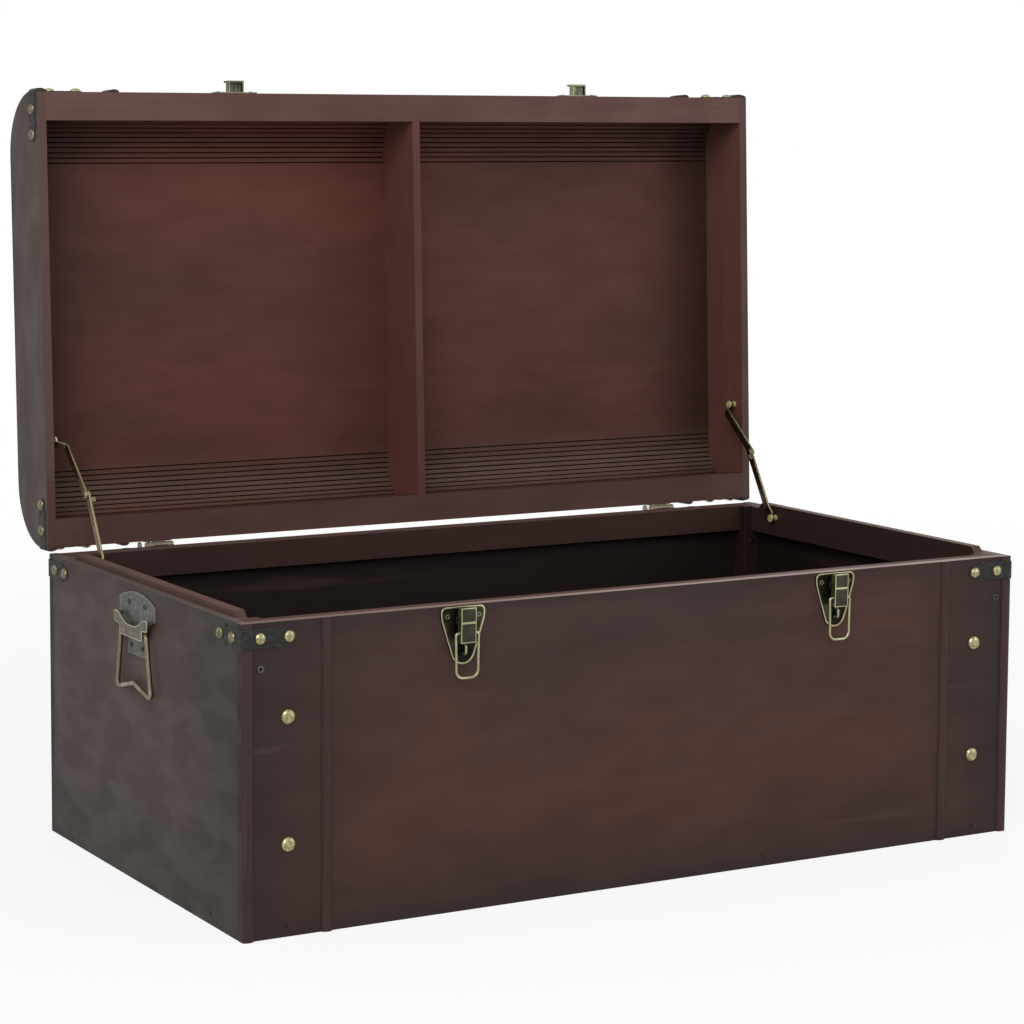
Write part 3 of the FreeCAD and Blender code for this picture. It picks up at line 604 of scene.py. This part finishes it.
def metal(name, dark, bright, roughness, wear=0.0006, metallic=1.0, cloud_scale=40,
          cloud_share=0.35, wear_low=0.03, wear_high=0.25, shine=0.5):
    """Plated metal: dark and cloudy in the flats, bright where it is rubbed."""
    finish = Finish(name)
    cloud = finish.between(finish.noise(cloud_scale, 4), 0.42, 0.68)
    base = finish.mix(finish.math("MULTIPLY", cloud, cloud_share), paint(*dark), paint(*bright))
    specks = finish.between(finish.noise(700, 2), 0.3, 0.7, 0.9, 1.1)
    base = finish.toned(base, specks)
    worn = finish.edge(wear, wear_low, wear_high)
    base = finish.mix(finish.math("MULTIPLY", worn, 0.92), base, paint(*bright))
    finish.set("Base Color", base)
    finish.set("Metallic", metallic)
    finish.set("Specular IOR Level", shine)
    finish.set("Roughness", finish.between(cloud, 0, 1, roughness + 0.08, roughness - 0.06))
    finish.set("Normal", finish.bump(finish.noise(320, 3), 0.1, 0.0002, finish.soften(wear)))
    return finish.material


# Near black for the panels' faces towards the inside: partly the inside's own dark colour, partly
# painted shade
near_black = (30, 22, 20)
front_edges = board_edges(front_low, front_high, (0, 2))
side_edges = board_edges(side_low, side_high, (1, 2))
lid_left_low, lid_left_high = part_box("lid_left_end")
lid_end_edges = board_edges(lid_left_low, lid_left_high, (1, 2))
# Painted shade: the lid's bays darker where they meet the end boards, the front darker towards its ends
# and its foot, the sides towards their front edge and their foot
bay_edges = [(0, -half_length + bay_inset, 1), (0, half_length - bay_inset, -1)]
front_painted_shade = [(0, -half_length, 1), (0, half_length, -1), (2, -0.03, 1)]
side_painted_shade = [(1, front_face, 1), (2, -0.06, 1)]

# The lid's rim and its inside look the same way, and the rim is the nearer to the front
near_rim = (1, hinge_point.y + 0.028, hinge_point.y + 0.040)
low_lid = (2, hinge_point.z + 0.045, hinge_point.z + 0.085)
# Where the painted highlight on the front's top turns paler: full right of the middle, gone near the
# left end
to_pale_end = (0, 0.02, -0.38)

# The tops of the front and back are lighter, a painted highlight from above; their faces towards the
# inside are near black
front_wood = wood("front stain with painted light", (65, 46, 42), (75, 48, 41), (56, 45, 43), start=(0.3, 0, 0.1),
                  edges=front_edges, dark=(44, 37, 36), width=0.02, painted_shade=front_painted_shade,
                  faces=((UP, (130, 108, 103)), (UP, (164, 144, 139), to_pale_end), (BACK, near_black)))
back_wood = wood("back stain with painted light", (68, 47, 42), (71, 47, 41), (63, 47, 44), start=(1.7, 0, 0.6),
                 edges=front_edges, dark=(44, 37, 36), width=0.02, painted_shade=front_painted_shade,
                 faces=((UP, (84, 62, 57)), (FRONT, near_black)))


# The sides' tops are lighter, a painted highlight from above; their faces towards the inside are near
# black
def side_wood(name, start, inward):
    return wood(name, (71, 60, 57), (75, 61, 58), (68, 59, 56), grain=1, start=start,
                edges=side_edges, dark=(52, 48, 45), width=0.02, painted_shade=side_painted_shade, wide=0.22,
                faces=((UP, (96, 84, 79)), (inward, near_black)))


left_wood = side_wood("left side stain with painted light", (0.9, 0.2, 0), RIGHT)
right_wood = side_wood("right side stain with painted light", (2.4, 0.5, 0.3), LEFT)
# The tops of the posts, the bottom and the inner rails are lighter, a painted highlight from above; the
# inside's dark colour is partly painted shade
inner_wood = wood("inner stain with painted light", (36, 26, 24), (40, 28, 26), (30, 22, 21),
                  faces=((UP, (84, 62, 57)),))
rail_wood = wood("rail stain", (54, 37, 34), (60, 40, 35), (46, 33, 30), faces=((UP, (92, 68, 62)),))
# The lips' tops are lighter, a painted highlight from above, and their faces towards the inside darker,
# painted shade
left_lip_wood = wood("left lip stain with painted light", (78, 56, 50), (84, 59, 53), (66, 50, 46), grain=1,
                     faces=((UP, (98, 76, 71)), (RIGHT, (54, 40, 37))), wear=0.8)
right_lip_wood = wood("right lip stain with painted light", (78, 56, 50), (84, 59, 53), (66, 50, 46), grain=1,
                      faces=((UP, (104, 82, 76)), (LEFT, (54, 39, 36))), wear=0.8)
rim_tones = ((98, 73, 69), (86, 61, 56))
low_rim_tones = ((83, 60, 55), (72, 50, 45))
lid_rim = ((rim_out, rim_tones, near_rim), (rim_out, low_rim_tones, near_rim, low_lid))

# Open, the lid's top looks back, its front wall up and its back wall down
outer_tones = ((66, 46, 41), (74, 49, 42))
lid_outside = (
    (BACK, outer_tones),
    ((BACK + UP).normalized(), outer_tones),
    ((BACK + DOWN).normalized(), outer_tones),
    (UP, outer_tones, (2, 0.62, 0.52)),
    (DOWN, outer_tones, (2, 0.34, 0.42)),
)

# Inside the lid the bays are darker where they meet the end boards, painted shade in those corners
lid_wood = wood("lid stain with painted shade", (79, 49, 43), (97, 55, 47), (62, 44, 39), start=(0.1, 0.7, 0.4),
                edges=bay_edges, dark=(58, 38, 34), width=0.035, painted_shade=bay_edges, wide=0.10,
                faces=((rim_out, ((90, 68, 61), (80, 58, 51)), low_lid), *lid_rim,
                       (DOWN, ((78, 52, 46), (70, 46, 41))), *lid_outside))
lid_rail_wood = wood("lid rail stain", (74, 45, 40), (80, 47, 41), (64, 42, 38), start=(0.1, 0.7, 0.4),
                     faces=lid_rim)
rib_wood = wood("rib stain", (104, 64, 57), (112, 68, 60), (92, 60, 54), grain=2, start=(0.5, 0.2, 0.9),
                faces=((rim_out, (86, 56, 51)),))
lid_end_wood = wood("lid end stain", (76, 65, 62), (76, 64, 61), (71, 61, 58), grain=2,
                    start=(0.4, 1.1, 0.2), edges=lid_end_edges, dark=(57, 52, 49), width=0.018,
                    faces=((rim_out, (86, 66, 62)), (rim_out, (76, 54, 50), low_lid),
                           (RIGHT, (104, 68, 61))))
lid_right_wood = wood("lid right stain", (78, 68, 65), (78, 67, 64), (74, 64, 61), grain=2,
                      start=(1.4, 1.1, 0.2), edges=lid_end_edges, dark=(54, 49, 46), width=0.018,
                      faces=((rim_out, (80, 61, 57)), (LEFT, (104, 68, 61))))
bead_wood = wood("bead stain", (58, 44, 41), (63, 46, 42), (51, 42, 40), grain=2, wear=0.9)

bracket_metal = metal("bracket enamel", (31, 32, 30), (66, 67, 62), roughness=0.55, metallic=0.0,
                      wear=0.0014, cloud_scale=260, cloud_share=0.3, wear_low=0.005, wear_high=0.1,
                      shine=0.2)
nail_brass = metal("nail brass", (138, 132, 96), (206, 200, 162), roughness=0.3, wear=0.0003,
                   cloud_scale=420, cloud_share=0.7)
# A darker copy of the nail brass, for the nails on the chest's ends
darker_nail_brass = metal("darker nail brass", (104, 100, 76), (156, 150, 118), roughness=0.36, wear=0.0003,
                       cloud_scale=420, cloud_share=0.6)
latch_metal = metal("latch brass", (32, 31, 24), (96, 92, 72), roughness=0.36, wear=0.0005,
                    cloud_share=0.4)
lever_metal = metal("lever brass", (60, 56, 48), (96, 91, 76), roughness=0.38, wear=0.0005)
rim_metal = metal("rim brass", (158, 152, 120), (206, 202, 170), roughness=0.32, wear=0.0004,
                  cloud_share=0.6)
catch_metal = metal("catch brass", (96, 94, 80), (186, 182, 154), roughness=0.36, wear=0.0009,
                    wear_low=0.01, wear_high=0.12)
wire_metal = metal("wire brass", (152, 146, 118), (200, 195, 166), roughness=0.34, cloud_scale=110)
bail_metal = metal("bail brass", (118, 112, 90), (172, 166, 138), roughness=0.38, cloud_scale=80)
plate_metal = metal("plate brass", (78, 79, 77), (146, 146, 134), roughness=0.5, metallic=0.5,
                    wear=0.0018, cloud_scale=300, cloud_share=0.2, wear_low=0.004, wear_high=0.07)
strap_metal = metal("strap brass", (92, 87, 77), (140, 134, 116), roughness=0.42, cloud_scale=260,
                    cloud_share=0.4)
strap_edge = metal("strap edge", (150, 146, 126), (182, 178, 156), roughness=0.4, cloud_share=0.6)
hinge_metal = metal("hinge brass", (116, 106, 90), (186, 176, 152), roughness=0.35)
stay_metal = metal("stay brass", (68, 59, 41), (192, 184, 148), roughness=0.35, wear=0.0009,
                   wear_low=0.01, wear_high=0.14)
# A lighter copy of the stay brass for the left stay, where the light falls on it: painted light
lit_stay_metal = metal("lit stay brass", (122, 109, 84), (212, 196, 164), roughness=0.32,
                          wear=0.0009, wear_low=0.01, wear_high=0.14)
pivot_metal = metal("pivot brass", (214, 202, 148), (238, 230, 184), roughness=0.3, metallic=0.3)
screw_metal = metal("screw steel", (38, 36, 34), (110, 106, 98), roughness=0.45, wear=0.0004)
eyelet_metal = metal("eyelet brass", (90, 90, 76), (190, 186, 160), roughness=0.4, wear=0.0005)
boss_metal = metal("boss steel", (15, 14, 13), (58, 56, 50), roughness=0.3, wear=0.0004)
bolt_metal = metal("bolt steel", (62, 60, 56), (150, 148, 140), roughness=0.35, wear=0.0006)
# Near black for the floors of the holes sunk in heads: painted shade
painted_hole_shade = metal("painted_hole_shade", (12, 11, 10), (24, 22, 20), roughness=0.6, metallic=0.0, shine=0.1)

finishes = {
    "front_panel": front_wood,
    "back_panel": back_wood,
    "bottom_panel": inner_wood,
    "left_side_panel": left_wood,
    "right_side_panel": right_wood,
    "front_inner_rail": rail_wood,
    "back_inner_rail": rail_wood,
    "left_lip_rail": left_lip_wood,
    "right_lip_rail": right_lip_wood,
    "lid_skin": lid_wood,
    "lid_left_end": lid_end_wood,
    "lid_right_end": lid_right_wood,
    "lid_front_rail": lid_rail_wood,
    "lid_back_rail": lid_rail_wood,
    "lid_centre_rib": rib_wood,
    "front_beads": bead_wood,
    "back_beads": bead_wood,
    "lid_beads": bead_wood,
    "base_corner_brackets": bracket_metal,
    "lid_corner_brackets": bracket_metal,
    "base_bracket_nails": nail_brass,
    "lid_bracket_nails": nail_brass,
    "band_nails": nail_brass,
    "stay_base_pivots": pivot_metal,
    "stay_lid_pivots": pivot_metal,
}
for side in ("left", "right"):
    finishes["front_" + side + "_post"] = inner_wood
    finishes["back_" + side + "_post"] = inner_wood
    finishes[side + "_latch_plate"] = latch_metal
    finishes[side + "_latch_lever"] = latch_metal
    finishes[side + "_latch_loop"] = wire_metal
    finishes[side + "_lid_catch"] = catch_metal
    finishes[side + "_handle_plate"] = plate_metal
    finishes[side + "_handle_strap"] = strap_metal
    finishes[side + "_handle_bail"] = bail_metal
    finishes[side + "_hinge_base_leaf"] = hinge_metal
    finishes[side + "_hinge_lid_leaf"] = hinge_metal
# The left stay takes the lighter copy of the stay brass, painted light
for link in ("_stay_lower_link", "_stay_upper_link"):
    finishes["left" + link] = lit_stay_metal
    finishes["right" + link] = stay_metal
for node, finish in finishes.items():
    mesh = nodes[node].data
    mesh.materials.clear()
    mesh.materials.append(finish)


# Beads

beads = [
    (-half_length + corner_bead_width / 2, corner_bead_width),
    (-half_length + band_bead_inset, band_bead_width),
    (half_length - band_bead_inset, band_bead_width),
    (half_length - corner_bead_width / 2, corner_bead_width),
]


def straight_bead(centre_x, y, bottom, top, width, proud):
    work = bmesh.new()
    start = half_round_loop(work, centre_x, y, bottom, width / 2, proud)
    end = run_on(work, start, UP * (top - bottom))
    cap(work, start, end)
    return shade(work)


def lid_bead(centre_x, width):
    """A bead from the shut lid's front rim, over both shoulders, to its back rim."""
    work = bmesh.new()
    start = half_round_loop(work, centre_x, front_face, rim + bead_gap, width / 2, bead_proud)
    loop = run_on(work, start, UP * (lid_wall - bead_gap))
    first = Vector((centre_x, front_face + lid_shoulder, rim + lid_wall))
    second = Vector((centre_x, back_face - lid_shoulder, rim + lid_wall))
    quarter = math.pi / 2
    loop = bend_on(work, loop, first, LEFT, quarter, shoulder_steps)
    loop = run_on(work, loop, second - first)
    loop = bend_on(work, loop, second, LEFT, quarter, shoulder_steps)
    loop = run_on(work, loop, DOWN * (lid_wall - bead_gap))
    cap(work, start, loop)
    bmesh.ops.remove_doubles(work, verts=work.verts, dist=weld)
    return moved(shade(work), opened)


def upright_beads():
    return joined([straight_bead(x, front_face, 0, rim, width, bead_proud) for x, width in beads])


new_piece("front_half_rounds", upright_beads(), bead_wood, "base", ["front_beads"])
new_piece("back_half_rounds", moved(upright_beads(), to_back), bead_wood, "base",
          ["back_beads"])
new_piece("lid_half_rounds", joined([lid_bead(x, width) for x, width in beads]), bead_wood, "lid",
          ["lid_beads"])


# Corner brackets

def bracket_arm(far_nail):
    """One arm from the corner out: straight, a neck, two lobes and a round tip."""
    neck = far_nail - 0.0135
    upper = [
        (0, bracket_half_height, 0),
        (neck - 0.003, bracket_half_height, 0.0012),
        (neck, 0.0064, 0.0012),
        (far_nail - 0.0085, 0.010, 0.0018),
        (far_nail - 0.0032, 0.0056, 0.0018),
        (far_nail + 0.0064, 0.0056, 0.0052),
    ]
    return upper + [(x, -y, setback) for x, y, setback in reversed(upper)]


def corner_bracket(height):
    """The front left bracket: two flat arms and a fold round the corner bead."""
    lifted = Matrix.Translation((0, 0, height))
    front_arm = sheet(bracket_arm(bracket_front_nails[1]), bracket_sheet, 0.0003)
    side_arm = sheet(bracket_arm(bracket_side_nails[1]), bracket_sheet, 0.0003)
    fold = straight_bead(
        -half_length + corner_bead_width / 2,
        front_face,
        height - bracket_half_height,
        height + bracket_half_height,
        corner_bead_width + 2 * bracket_sheet,
        bead_proud + bracket_sheet,
    )
    to_corner = Matrix.Translation((-half_length, 0, 0))
    return joined([
        moved(front_arm, lifted, to_corner, on_front),
        moved(side_arm, lifted, on_left),
        fold,
    ])


def four_brackets(height):
    corners = ([], [to_right], [to_back], [to_right, to_back])
    return joined([moved(corner_bracket(height), *places) for places in corners])


new_piece("base_brackets", four_brackets(base_bracket_z), bracket_metal, "base",
          ["base_corner_brackets"])
new_piece("lid_brackets", moved(four_brackets(lid_bracket_z), opened), bracket_metal, "lid",
          ["lid_corner_brackets"])


# Domed nails

def front_and_back(x, height, proud=0.0):
    """Two places for a head: on the front, and behind it on the back."""
    return [facing(Vector((x, front_face - proud, height)), FRONT),
            facing(Vector((x, back_face + proud, height)), BACK)]


def front_nail_places(height):
    places = []
    for inset in bracket_front_nails:
        for sign in (-1, 1):
            places += front_and_back(sign * (half_length - inset), height, bracket_sheet)
    return places


def side_nail_places(height):
    places = []
    for inset in bracket_side_nails:
        for y in (front_face + inset, back_face - inset):
            places.append(facing(Vector((-half_length - bracket_sheet, y, height)), LEFT))
            places.append(facing(Vector((half_length + bracket_sheet, y, height)), RIGHT))
    return places


def swung(places):
    return [opened @ place for place in places]


band_places = []
for sign in (-1, 1):
    for height in big_nail_heights:
        band_places += front_and_back(sign * (half_length - big_nail_inset), height)
nail = pattern_of(dome(nail_radius, nail_height))
big_nail = pattern_of(dome(big_nail_radius, big_nail_height))
new_piece("band_domed_nails", stamped(big_nail, band_places), nail_brass, "base",
          ["band_nails"])
for name, places, brass, body in (
    ("base_front_nails", front_nail_places(base_bracket_z), nail_brass, "base"),
    ("base_side_nails", side_nail_places(base_bracket_z), darker_nail_brass, "base"),
    ("lid_front_nails", swung(front_nail_places(lid_bracket_z)), nail_brass, "lid"),
    ("lid_side_nails", swung(side_nail_places(lid_bracket_z)), darker_nail_brass, "lid"),
):
    new_piece(name, stamped(nail, places), brass, body, [body + "_bracket_nails"])


# Toggle latches

def shield_plate():
    """Dished plate, wide above and narrowed to a rounded foot, with a rolled bright rim."""
    rim_width = 0.0013
    slope = 0.0003
    near = 0.00005
    outline = both_sides([
        (0.0215, latch_top, 0.0050),
        (0.0215, latch_top - 0.0095, 0.0042),
        (0.0125, latch_top - 0.0375, 0.0045),
        (0.0085, latch_top - 0.050, 0.0080),
    ])
    work = sheet(outline, latch_rim, 0, 8)
    top = max(work.faces, key=lambda face: face.calc_center_median().z)
    bmesh.ops.inset_region(work, faces=[top], thickness=rim_width, use_even_offset=True)
    bmesh.ops.inset_region(work, faces=[top], thickness=slope, depth=latch_floor - latch_rim,
                           use_even_offset=True)
    ridge = [
        edge for edge in work.edges
        if min(vertex.co.z for vertex in edge.verts) > latch_rim - near
        and edge.calc_face_angle() > 0.5
    ]
    soften_edges(work, ridge, 0.00045)
    for face in work.faces:
        if face.calc_center_median().z > latch_floor + near:
            face.material_index = 1
    return shade(work)


def ear(inner_x):
    """A lug beside the lever, standing out from the plate and round at its end."""
    end = lever_pin_proud + 0.002
    outline = [
        (0, lever_pin_z - 0.0085, 0),
        (latch_floor, lever_pin_z - 0.0085, 0),
        (end, lever_pin_z - 0.002, 0.0019),
        (end, lever_pin_z + 0.002, 0.0019),
        (latch_floor, lever_pin_z - 0.0026, 0),
        (0, lever_pin_z - 0.0026, 0),
    ]
    upright = Matrix(((0, 0, 1, inner_x), (-1, 0, 0, front_face), (0, 1, 0, 0), (0, 0, 0, 1)))
    return moved(sheet(outline, 0.0012, 0.0002), upright)


def staple():
    """A wire loop that stands out of the boss, for a padlock."""
    reach = 0.0064
    half = 0.0043
    points = [
        (0, front_face, boss_z - half),
        (0, front_face - reach, boss_z - half),
        (0, front_face - reach, boss_z + half),
        (0, front_face, boss_z + half),
    ]
    return wire(points, [0.0028, 0.0028], 0.0013)


def latch_plate(middle):
    """Shield, boss, staple, both ears and the lever's pin."""
    boss = moved(dome(0.0066, 0.0014), facing(Vector((0, front_face - latch_floor, boss_z)), FRONT))
    half_pin = 0.00745
    pin = moved(round_bar(0.001, -half_pin, half_pin, 0.0003),
                facing(Vector((0, front_face - lever_pin_proud, lever_pin_z)), RIGHT))
    work = joined([
        moved(shield_plate(), on_front),
        coated(boss, 2),
        coated(staple(), 1),
        ear(-0.00605),
        ear(0.00485),
        coated(pin, 1),
    ])
    return moved(work, Matrix.Translation((middle, 0, 0)))


def web_flat(half_width, bottom, top):
    """One flat of the lever's web."""
    outline = both_sides([(half_width, top, 0), (half_width, bottom, 0)])
    return framed(sheet(outline, lever_sheet, 0.0002), 0.0007)


def latch_lever(middle):
    """Channel with a cranked web of two flats, its cheeks either side."""
    half_width = 0.00735
    web = 0.0118
    foot_web = 0.0112
    top = latch_top - 0.0002
    crease = latch_top - 0.013
    foot = latch_top - 0.0303
    slope = math.atan2(web - foot_web, crease - foot)
    at_crease = Matrix.Translation((0, -(web - lever_sheet), crease))
    works = [
        moved(web_flat(half_width, 0, top - crease), at_crease, upright_on_front),
        moved(web_flat(half_width, foot - crease, 0), at_crease, Matrix.Rotation(slope, 4, "X"),
              upright_on_front),
    ]
    cheek = [
        (web - 0.0003, top, 0.0004),
        (0.0080, top, 0.0010),
        (0.0052, lever_pin_z + 0.002, 0.0010),
        (0.0052, lever_pin_z - 0.0182, 0.0010),
        (0.0085, foot, 0.0010),
        (foot_web - 0.0003, foot, 0.0004),
        (web - 0.0003, crease, 0),
    ]
    for inner_x in (-half_width, half_width - lever_sheet):
        upright = Matrix(((0, 0, 1, inner_x), (-1, 0, 0, 0), (0, 1, 0, 0), (0, 0, 0, 1)))
        works.append(moved(coated(sheet(cheek, lever_sheet, 0.0002), 1), upright))
    return moved(joined(works), Matrix.Translation((middle, front_face, 0)))


def latch_loop(middle):
    y = front_face - loop_proud
    half = [(0.00515, loop_pin_z), (0.01105, loop_pin_z), (0.01045, loop_foot_z)]
    points = [(middle - x, y, z) for x, z in half] + [(middle + x, y, z) for x, z in reversed(half)]
    return wire(points, [0.0022, 0.0065, 0.0065, 0.0022], loop_radius)


plate_nail = pattern_of(sunk_head(0.0023, 0.0007, 0.3))
for side, sign in (("left", -1), ("right", 1)):
    middle = sign * latch_middle
    new_piece(side + "_latch_shield", latch_plate(middle), (latch_metal, rim_metal, boss_metal),
              "base", [side + "_latch_plate"])
    new_piece(side + "_cranked_lever", latch_lever(middle), (lever_metal, rim_metal), side + "_lever",
              [side + "_latch_lever"])
    new_piece(side + "_wire_loop", latch_loop(middle), wire_metal, side + "_loop",
              [side + "_latch_loop"])
    plate_places = []
    catch_places = []
    for across in (-1, 1):
        place = Vector((middle + across * latch_nail_apart, front_face - latch_floor, latch_nail_z))
        plate_places.append(facing(place, FRONT))
        place = Vector((middle + across * catch_nail_apart, front_face - catch_sheet, catch_nail_z))
        catch_places.append(facing(place, FRONT))
    new_piece(side + "_latch_eyelets", stamped(plate_nail, plate_places), (eyelet_metal, painted_hole_shade),
              "base")
    new_piece(side + "_catch_eyelets", stamped(plate_nail, swung(catch_places)),
              (eyelet_metal, painted_hole_shade), "lid")


# Side handles

def handle_strap():
    """Winged strap over the bail's ends, with its bearings and the posts of its wings."""
    half = [
        (0.0365, handle_z + 0.0145, 0.0018),
        (0.0365, handle_z + 0.0042, 0.0018),
        (0.0255, handle_z + 0.0036, 0.0018),
        (0.0245, handle_z - 0.0055, 0.0016),
    ]
    crown = [(-0.0262, handle_z + 0.0142, 0.0050), (-0.0135, handle_z + 0.0058, 0.0080)]
    crown += [(-x, y, setback) for x, y, setback in reversed(crown)]
    face = framed(sheet(both_sides(half) + crown, strap_sheet, 0.0004), 0.0007)
    works = [moved(face, Matrix.Translation((0, 0, strap_inner)))]
    bottom = handle_z - 0.0032
    top = handle_z + 0.0032
    bearing_height = strap_inner - handle_sheet + strap_overlap
    on_plate = Matrix.Translation((0, 0, handle_sheet))
    for sign in (-1, 1):
        inner, outer = sorted((sign * 0.0155, sign * 0.024))
        bearing = [(inner, bottom, 0.0006), (outer, bottom, 0.0006), (outer, top, 0.0006),
                   (inner, top, 0.0006)]
        works.append(moved(sheet(bearing, bearing_height, 0), on_plate))
        post = round_bar(0.0019, handle_sheet, strap_inner + strap_overlap)
        works.append(moved(post, Matrix.Translation((sign * 0.0345, handle_z + 0.0113, 0))))
    return moved(joined(works), on_left, Matrix.Translation((middle_y - front_face, 0, 0)))


def handle_bail():
    x = -half_length - bail_proud
    half = [(0.014, handle_z), (0.0276, handle_z), (0.0382, handle_z - 0.055)]
    points = [(x, middle_y - y, z) for y, z in half]
    points.append((x, middle_y, handle_z - 0.046))
    points += [(x, middle_y + y, z) for y, z in reversed(half)]
    return wire(points, [0.0035, 0.004, 0.008, 0.004, 0.0035], bail_radius)


small_screw = pattern_of(sunk_head(0.0026, 0.0008, 0.5))
for side, sign, places in (("left", -1, []), ("right", 1, [to_right])):
    new_piece(side + "_winged_strap", moved(handle_strap(), *places), (strap_metal, strap_edge),
              "base", [side + "_handle_strap"])
    new_piece(side + "_bail", moved(handle_bail(), *places), bail_metal, side + "_bail",
              [side + "_handle_bail"])
    outward = RIGHT * sign
    screws = []
    for across, height in ((0.017, handle_z + 0.0235), (0.0127, handle_z - 0.014)):
        for way in (-1, 1):
            place = Vector((sign * (half_length + handle_sheet), middle_y + way * across, height))
            screws.append(facing(place, outward))
    new_piece(side + "_handle_screws", stamped(small_screw, screws), (screw_metal, painted_hole_shade), "base")


# Hinge screws, bottom screws and corner bolts

hinge_base_places = []
hinge_lid_places = []
for sign in (-1, 1):
    for across in (-hinge_screw_apart, hinge_screw_apart):
        x = sign * (half_length - hinge_inset) + across
        y = back_face + hinge_leaf
        hinge_base_places.append(facing(Vector((x, y, hinge_base_screw_z)), BACK))
        hinge_lid_places.append(facing(Vector((x, y, hinge_lid_screw_z)), BACK))
flat_screw = pattern_of(sunk_head(0.0022, 0.0006, 0.5))
new_piece("hinge_base_screws", stamped(flat_screw, hinge_base_places), (hinge_metal, painted_hole_shade), "base")
new_piece("hinge_lid_screws", stamped(flat_screw, swung(hinge_lid_places)), (hinge_metal, painted_hole_shade),
          "lid")

bottom_places = []
bolt_places = []
nut_places = []
for x in bottom_screw_across:
    bottom_places += front_and_back(x, bottom_screw_z)
for sign in (-1, 1):
    for y in (front_face + bottom_screw_inset, back_face - bottom_screw_inset):
        place = Vector((sign * half_length, y, bottom_screw_z))
        bottom_places.append(facing(place, RIGHT * sign))
    x = sign * (half_length - bolt_inset)
    bolt_places += front_and_back(x, bolt_z)
    nut_places.append(facing(Vector((x, back_face - nut_inset, bolt_z)), FRONT))
    nut_places.append(facing(Vector((x, front_face + nut_inset, bolt_z)), BACK))
new_piece("bottom_screws", stamped(flat_screw, bottom_places), (screw_metal, painted_hole_shade), "base")
new_piece("barrel_nuts", stamped(pattern_of(sunk_head(0.0034, 0.0006, 0.35)), nut_places),
          (screw_metal, painted_hole_shade), "base")
new_piece("corner_bolts", stamped(pattern_of(sunk_head(0.0036, 0.0010, 0.4)), bolt_places),
          (bolt_metal, painted_hole_shade), "base")


# Floor, light and camera

lamp_target = Vector((0, 0, 0.3))


def lamp(name, place, size, power):
    """A soft round light that looks at the chest."""
    light = bpy.data.lights.new(name, "AREA")
    light.shape = "DISK"
    light.size = size
    light.energy = power
    holder = bpy.data.objects.new(name, light)
    holder.location = place
    holder.rotation_euler = (lamp_target - Vector(place)).to_track_quat("-Z", "Y").to_euler()
    bpy.context.scene.collection.objects.link(holder)


floor_half = 30.0
shadow_reach = 0.8
white_from = 2.4
near_whiteness = 0.82
floor_work = bmesh.new()
bmesh.ops.create_grid(floor_work, x_segments=1, y_segments=1, size=floor_half)
floor_mesh = bpy.data.meshes.new("floor")
floor_work.to_mesh(floor_mesh)
floor_work.free()
floor = bpy.data.objects.new("floor", floor_mesh)
bpy.context.scene.collection.objects.link(floor)

# The floor keeps the chest's shadow near it, and turns plain white further off
floor_finish = Finish("pale floor")
floor_finish.set("Base Color", (0.9, 0.9, 0.9, 1))
floor_finish.set("Roughness", 0.9)
away = floor_finish.node("ShaderNodeVectorMath", operation="LENGTH")
floor_finish.plug(floor_finish.coords.outputs["Object"], away.inputs[0])
whiteness = floor_finish.between(away.outputs["Value"], shadow_reach, white_from, near_whiteness, 1.0)
glow = floor_finish.node("ShaderNodeEmission")
glow.inputs["Strength"].default_value = 1.0
blend = floor_finish.node("ShaderNodeMixShader")
white_share = floor_finish.math("MULTIPLY", floor_finish.in_sight(), whiteness)
floor_finish.plug(white_share, blend.inputs[0])
floor_finish.plug(floor_finish.shader.outputs[0], blend.inputs[1])
floor_finish.plug(glow.outputs[0], blend.inputs[2])
floor_finish.plug(blend.outputs[0], floor_finish.tree.nodes["Material Output"].inputs["Surface"])
floor_mesh.materials.append(floor_finish.material)

# White where it is seen, and lower as a light on the chest
sky_light = 0.55
world = bpy.data.worlds.new("studio")
world.use_nodes = True
bpy.context.scene.world = world
sky = Nodes(world.node_tree)
background = sky.tree.nodes["Background"]
background.inputs["Color"].default_value = (1, 1, 1, 1)
sky.plug(sky.between(sky.in_sight(), 0.0, 1.0, sky_light, 1.0), background.inputs["Strength"])

lamp("window", (-2.2, -2.6, 2.6), 2.4, 78)
lamp("fill", (2.6, -2.2, 1.6), 2.0, 22)

# The photo's camera, fitted to the edges of the chest; the shift is that of its framing
lens = 101.77
pitch = 0.09834
yaw = 0.51528
roll = 0.0054
camera_place = Vector((-1.37577, front_face - 2.1144, 0.67827))
sideways = Vector((math.cos(yaw), -math.sin(yaw), 0))
level = math.cos(pitch)
forward = Vector((math.sin(yaw) * level, math.cos(yaw) * level, -math.sin(pitch)))
upward = sideways.cross(forward)
rolled_side = sideways * math.cos(roll) + upward * math.sin(roll)
rolled_up = upward * math.cos(roll) - sideways * math.sin(roll)
camera_data = bpy.data.cameras.new("camera")
camera_data.lens = lens
camera_data.shift_x = 0.03125
camera_data.shift_y = -0.109375
camera = bpy.data.objects.new("camera", camera_data)
camera_turn = Matrix((rolled_side, rolled_up, -forward)).transposed().to_4x4()
camera.matrix_world = Matrix.Translation(camera_place) @ camera_turn
bpy.context.scene.collection.objects.link(camera)
bpy.context.scene.camera = camera
bpy.context.scene.view_settings.view_transform = "Standard"
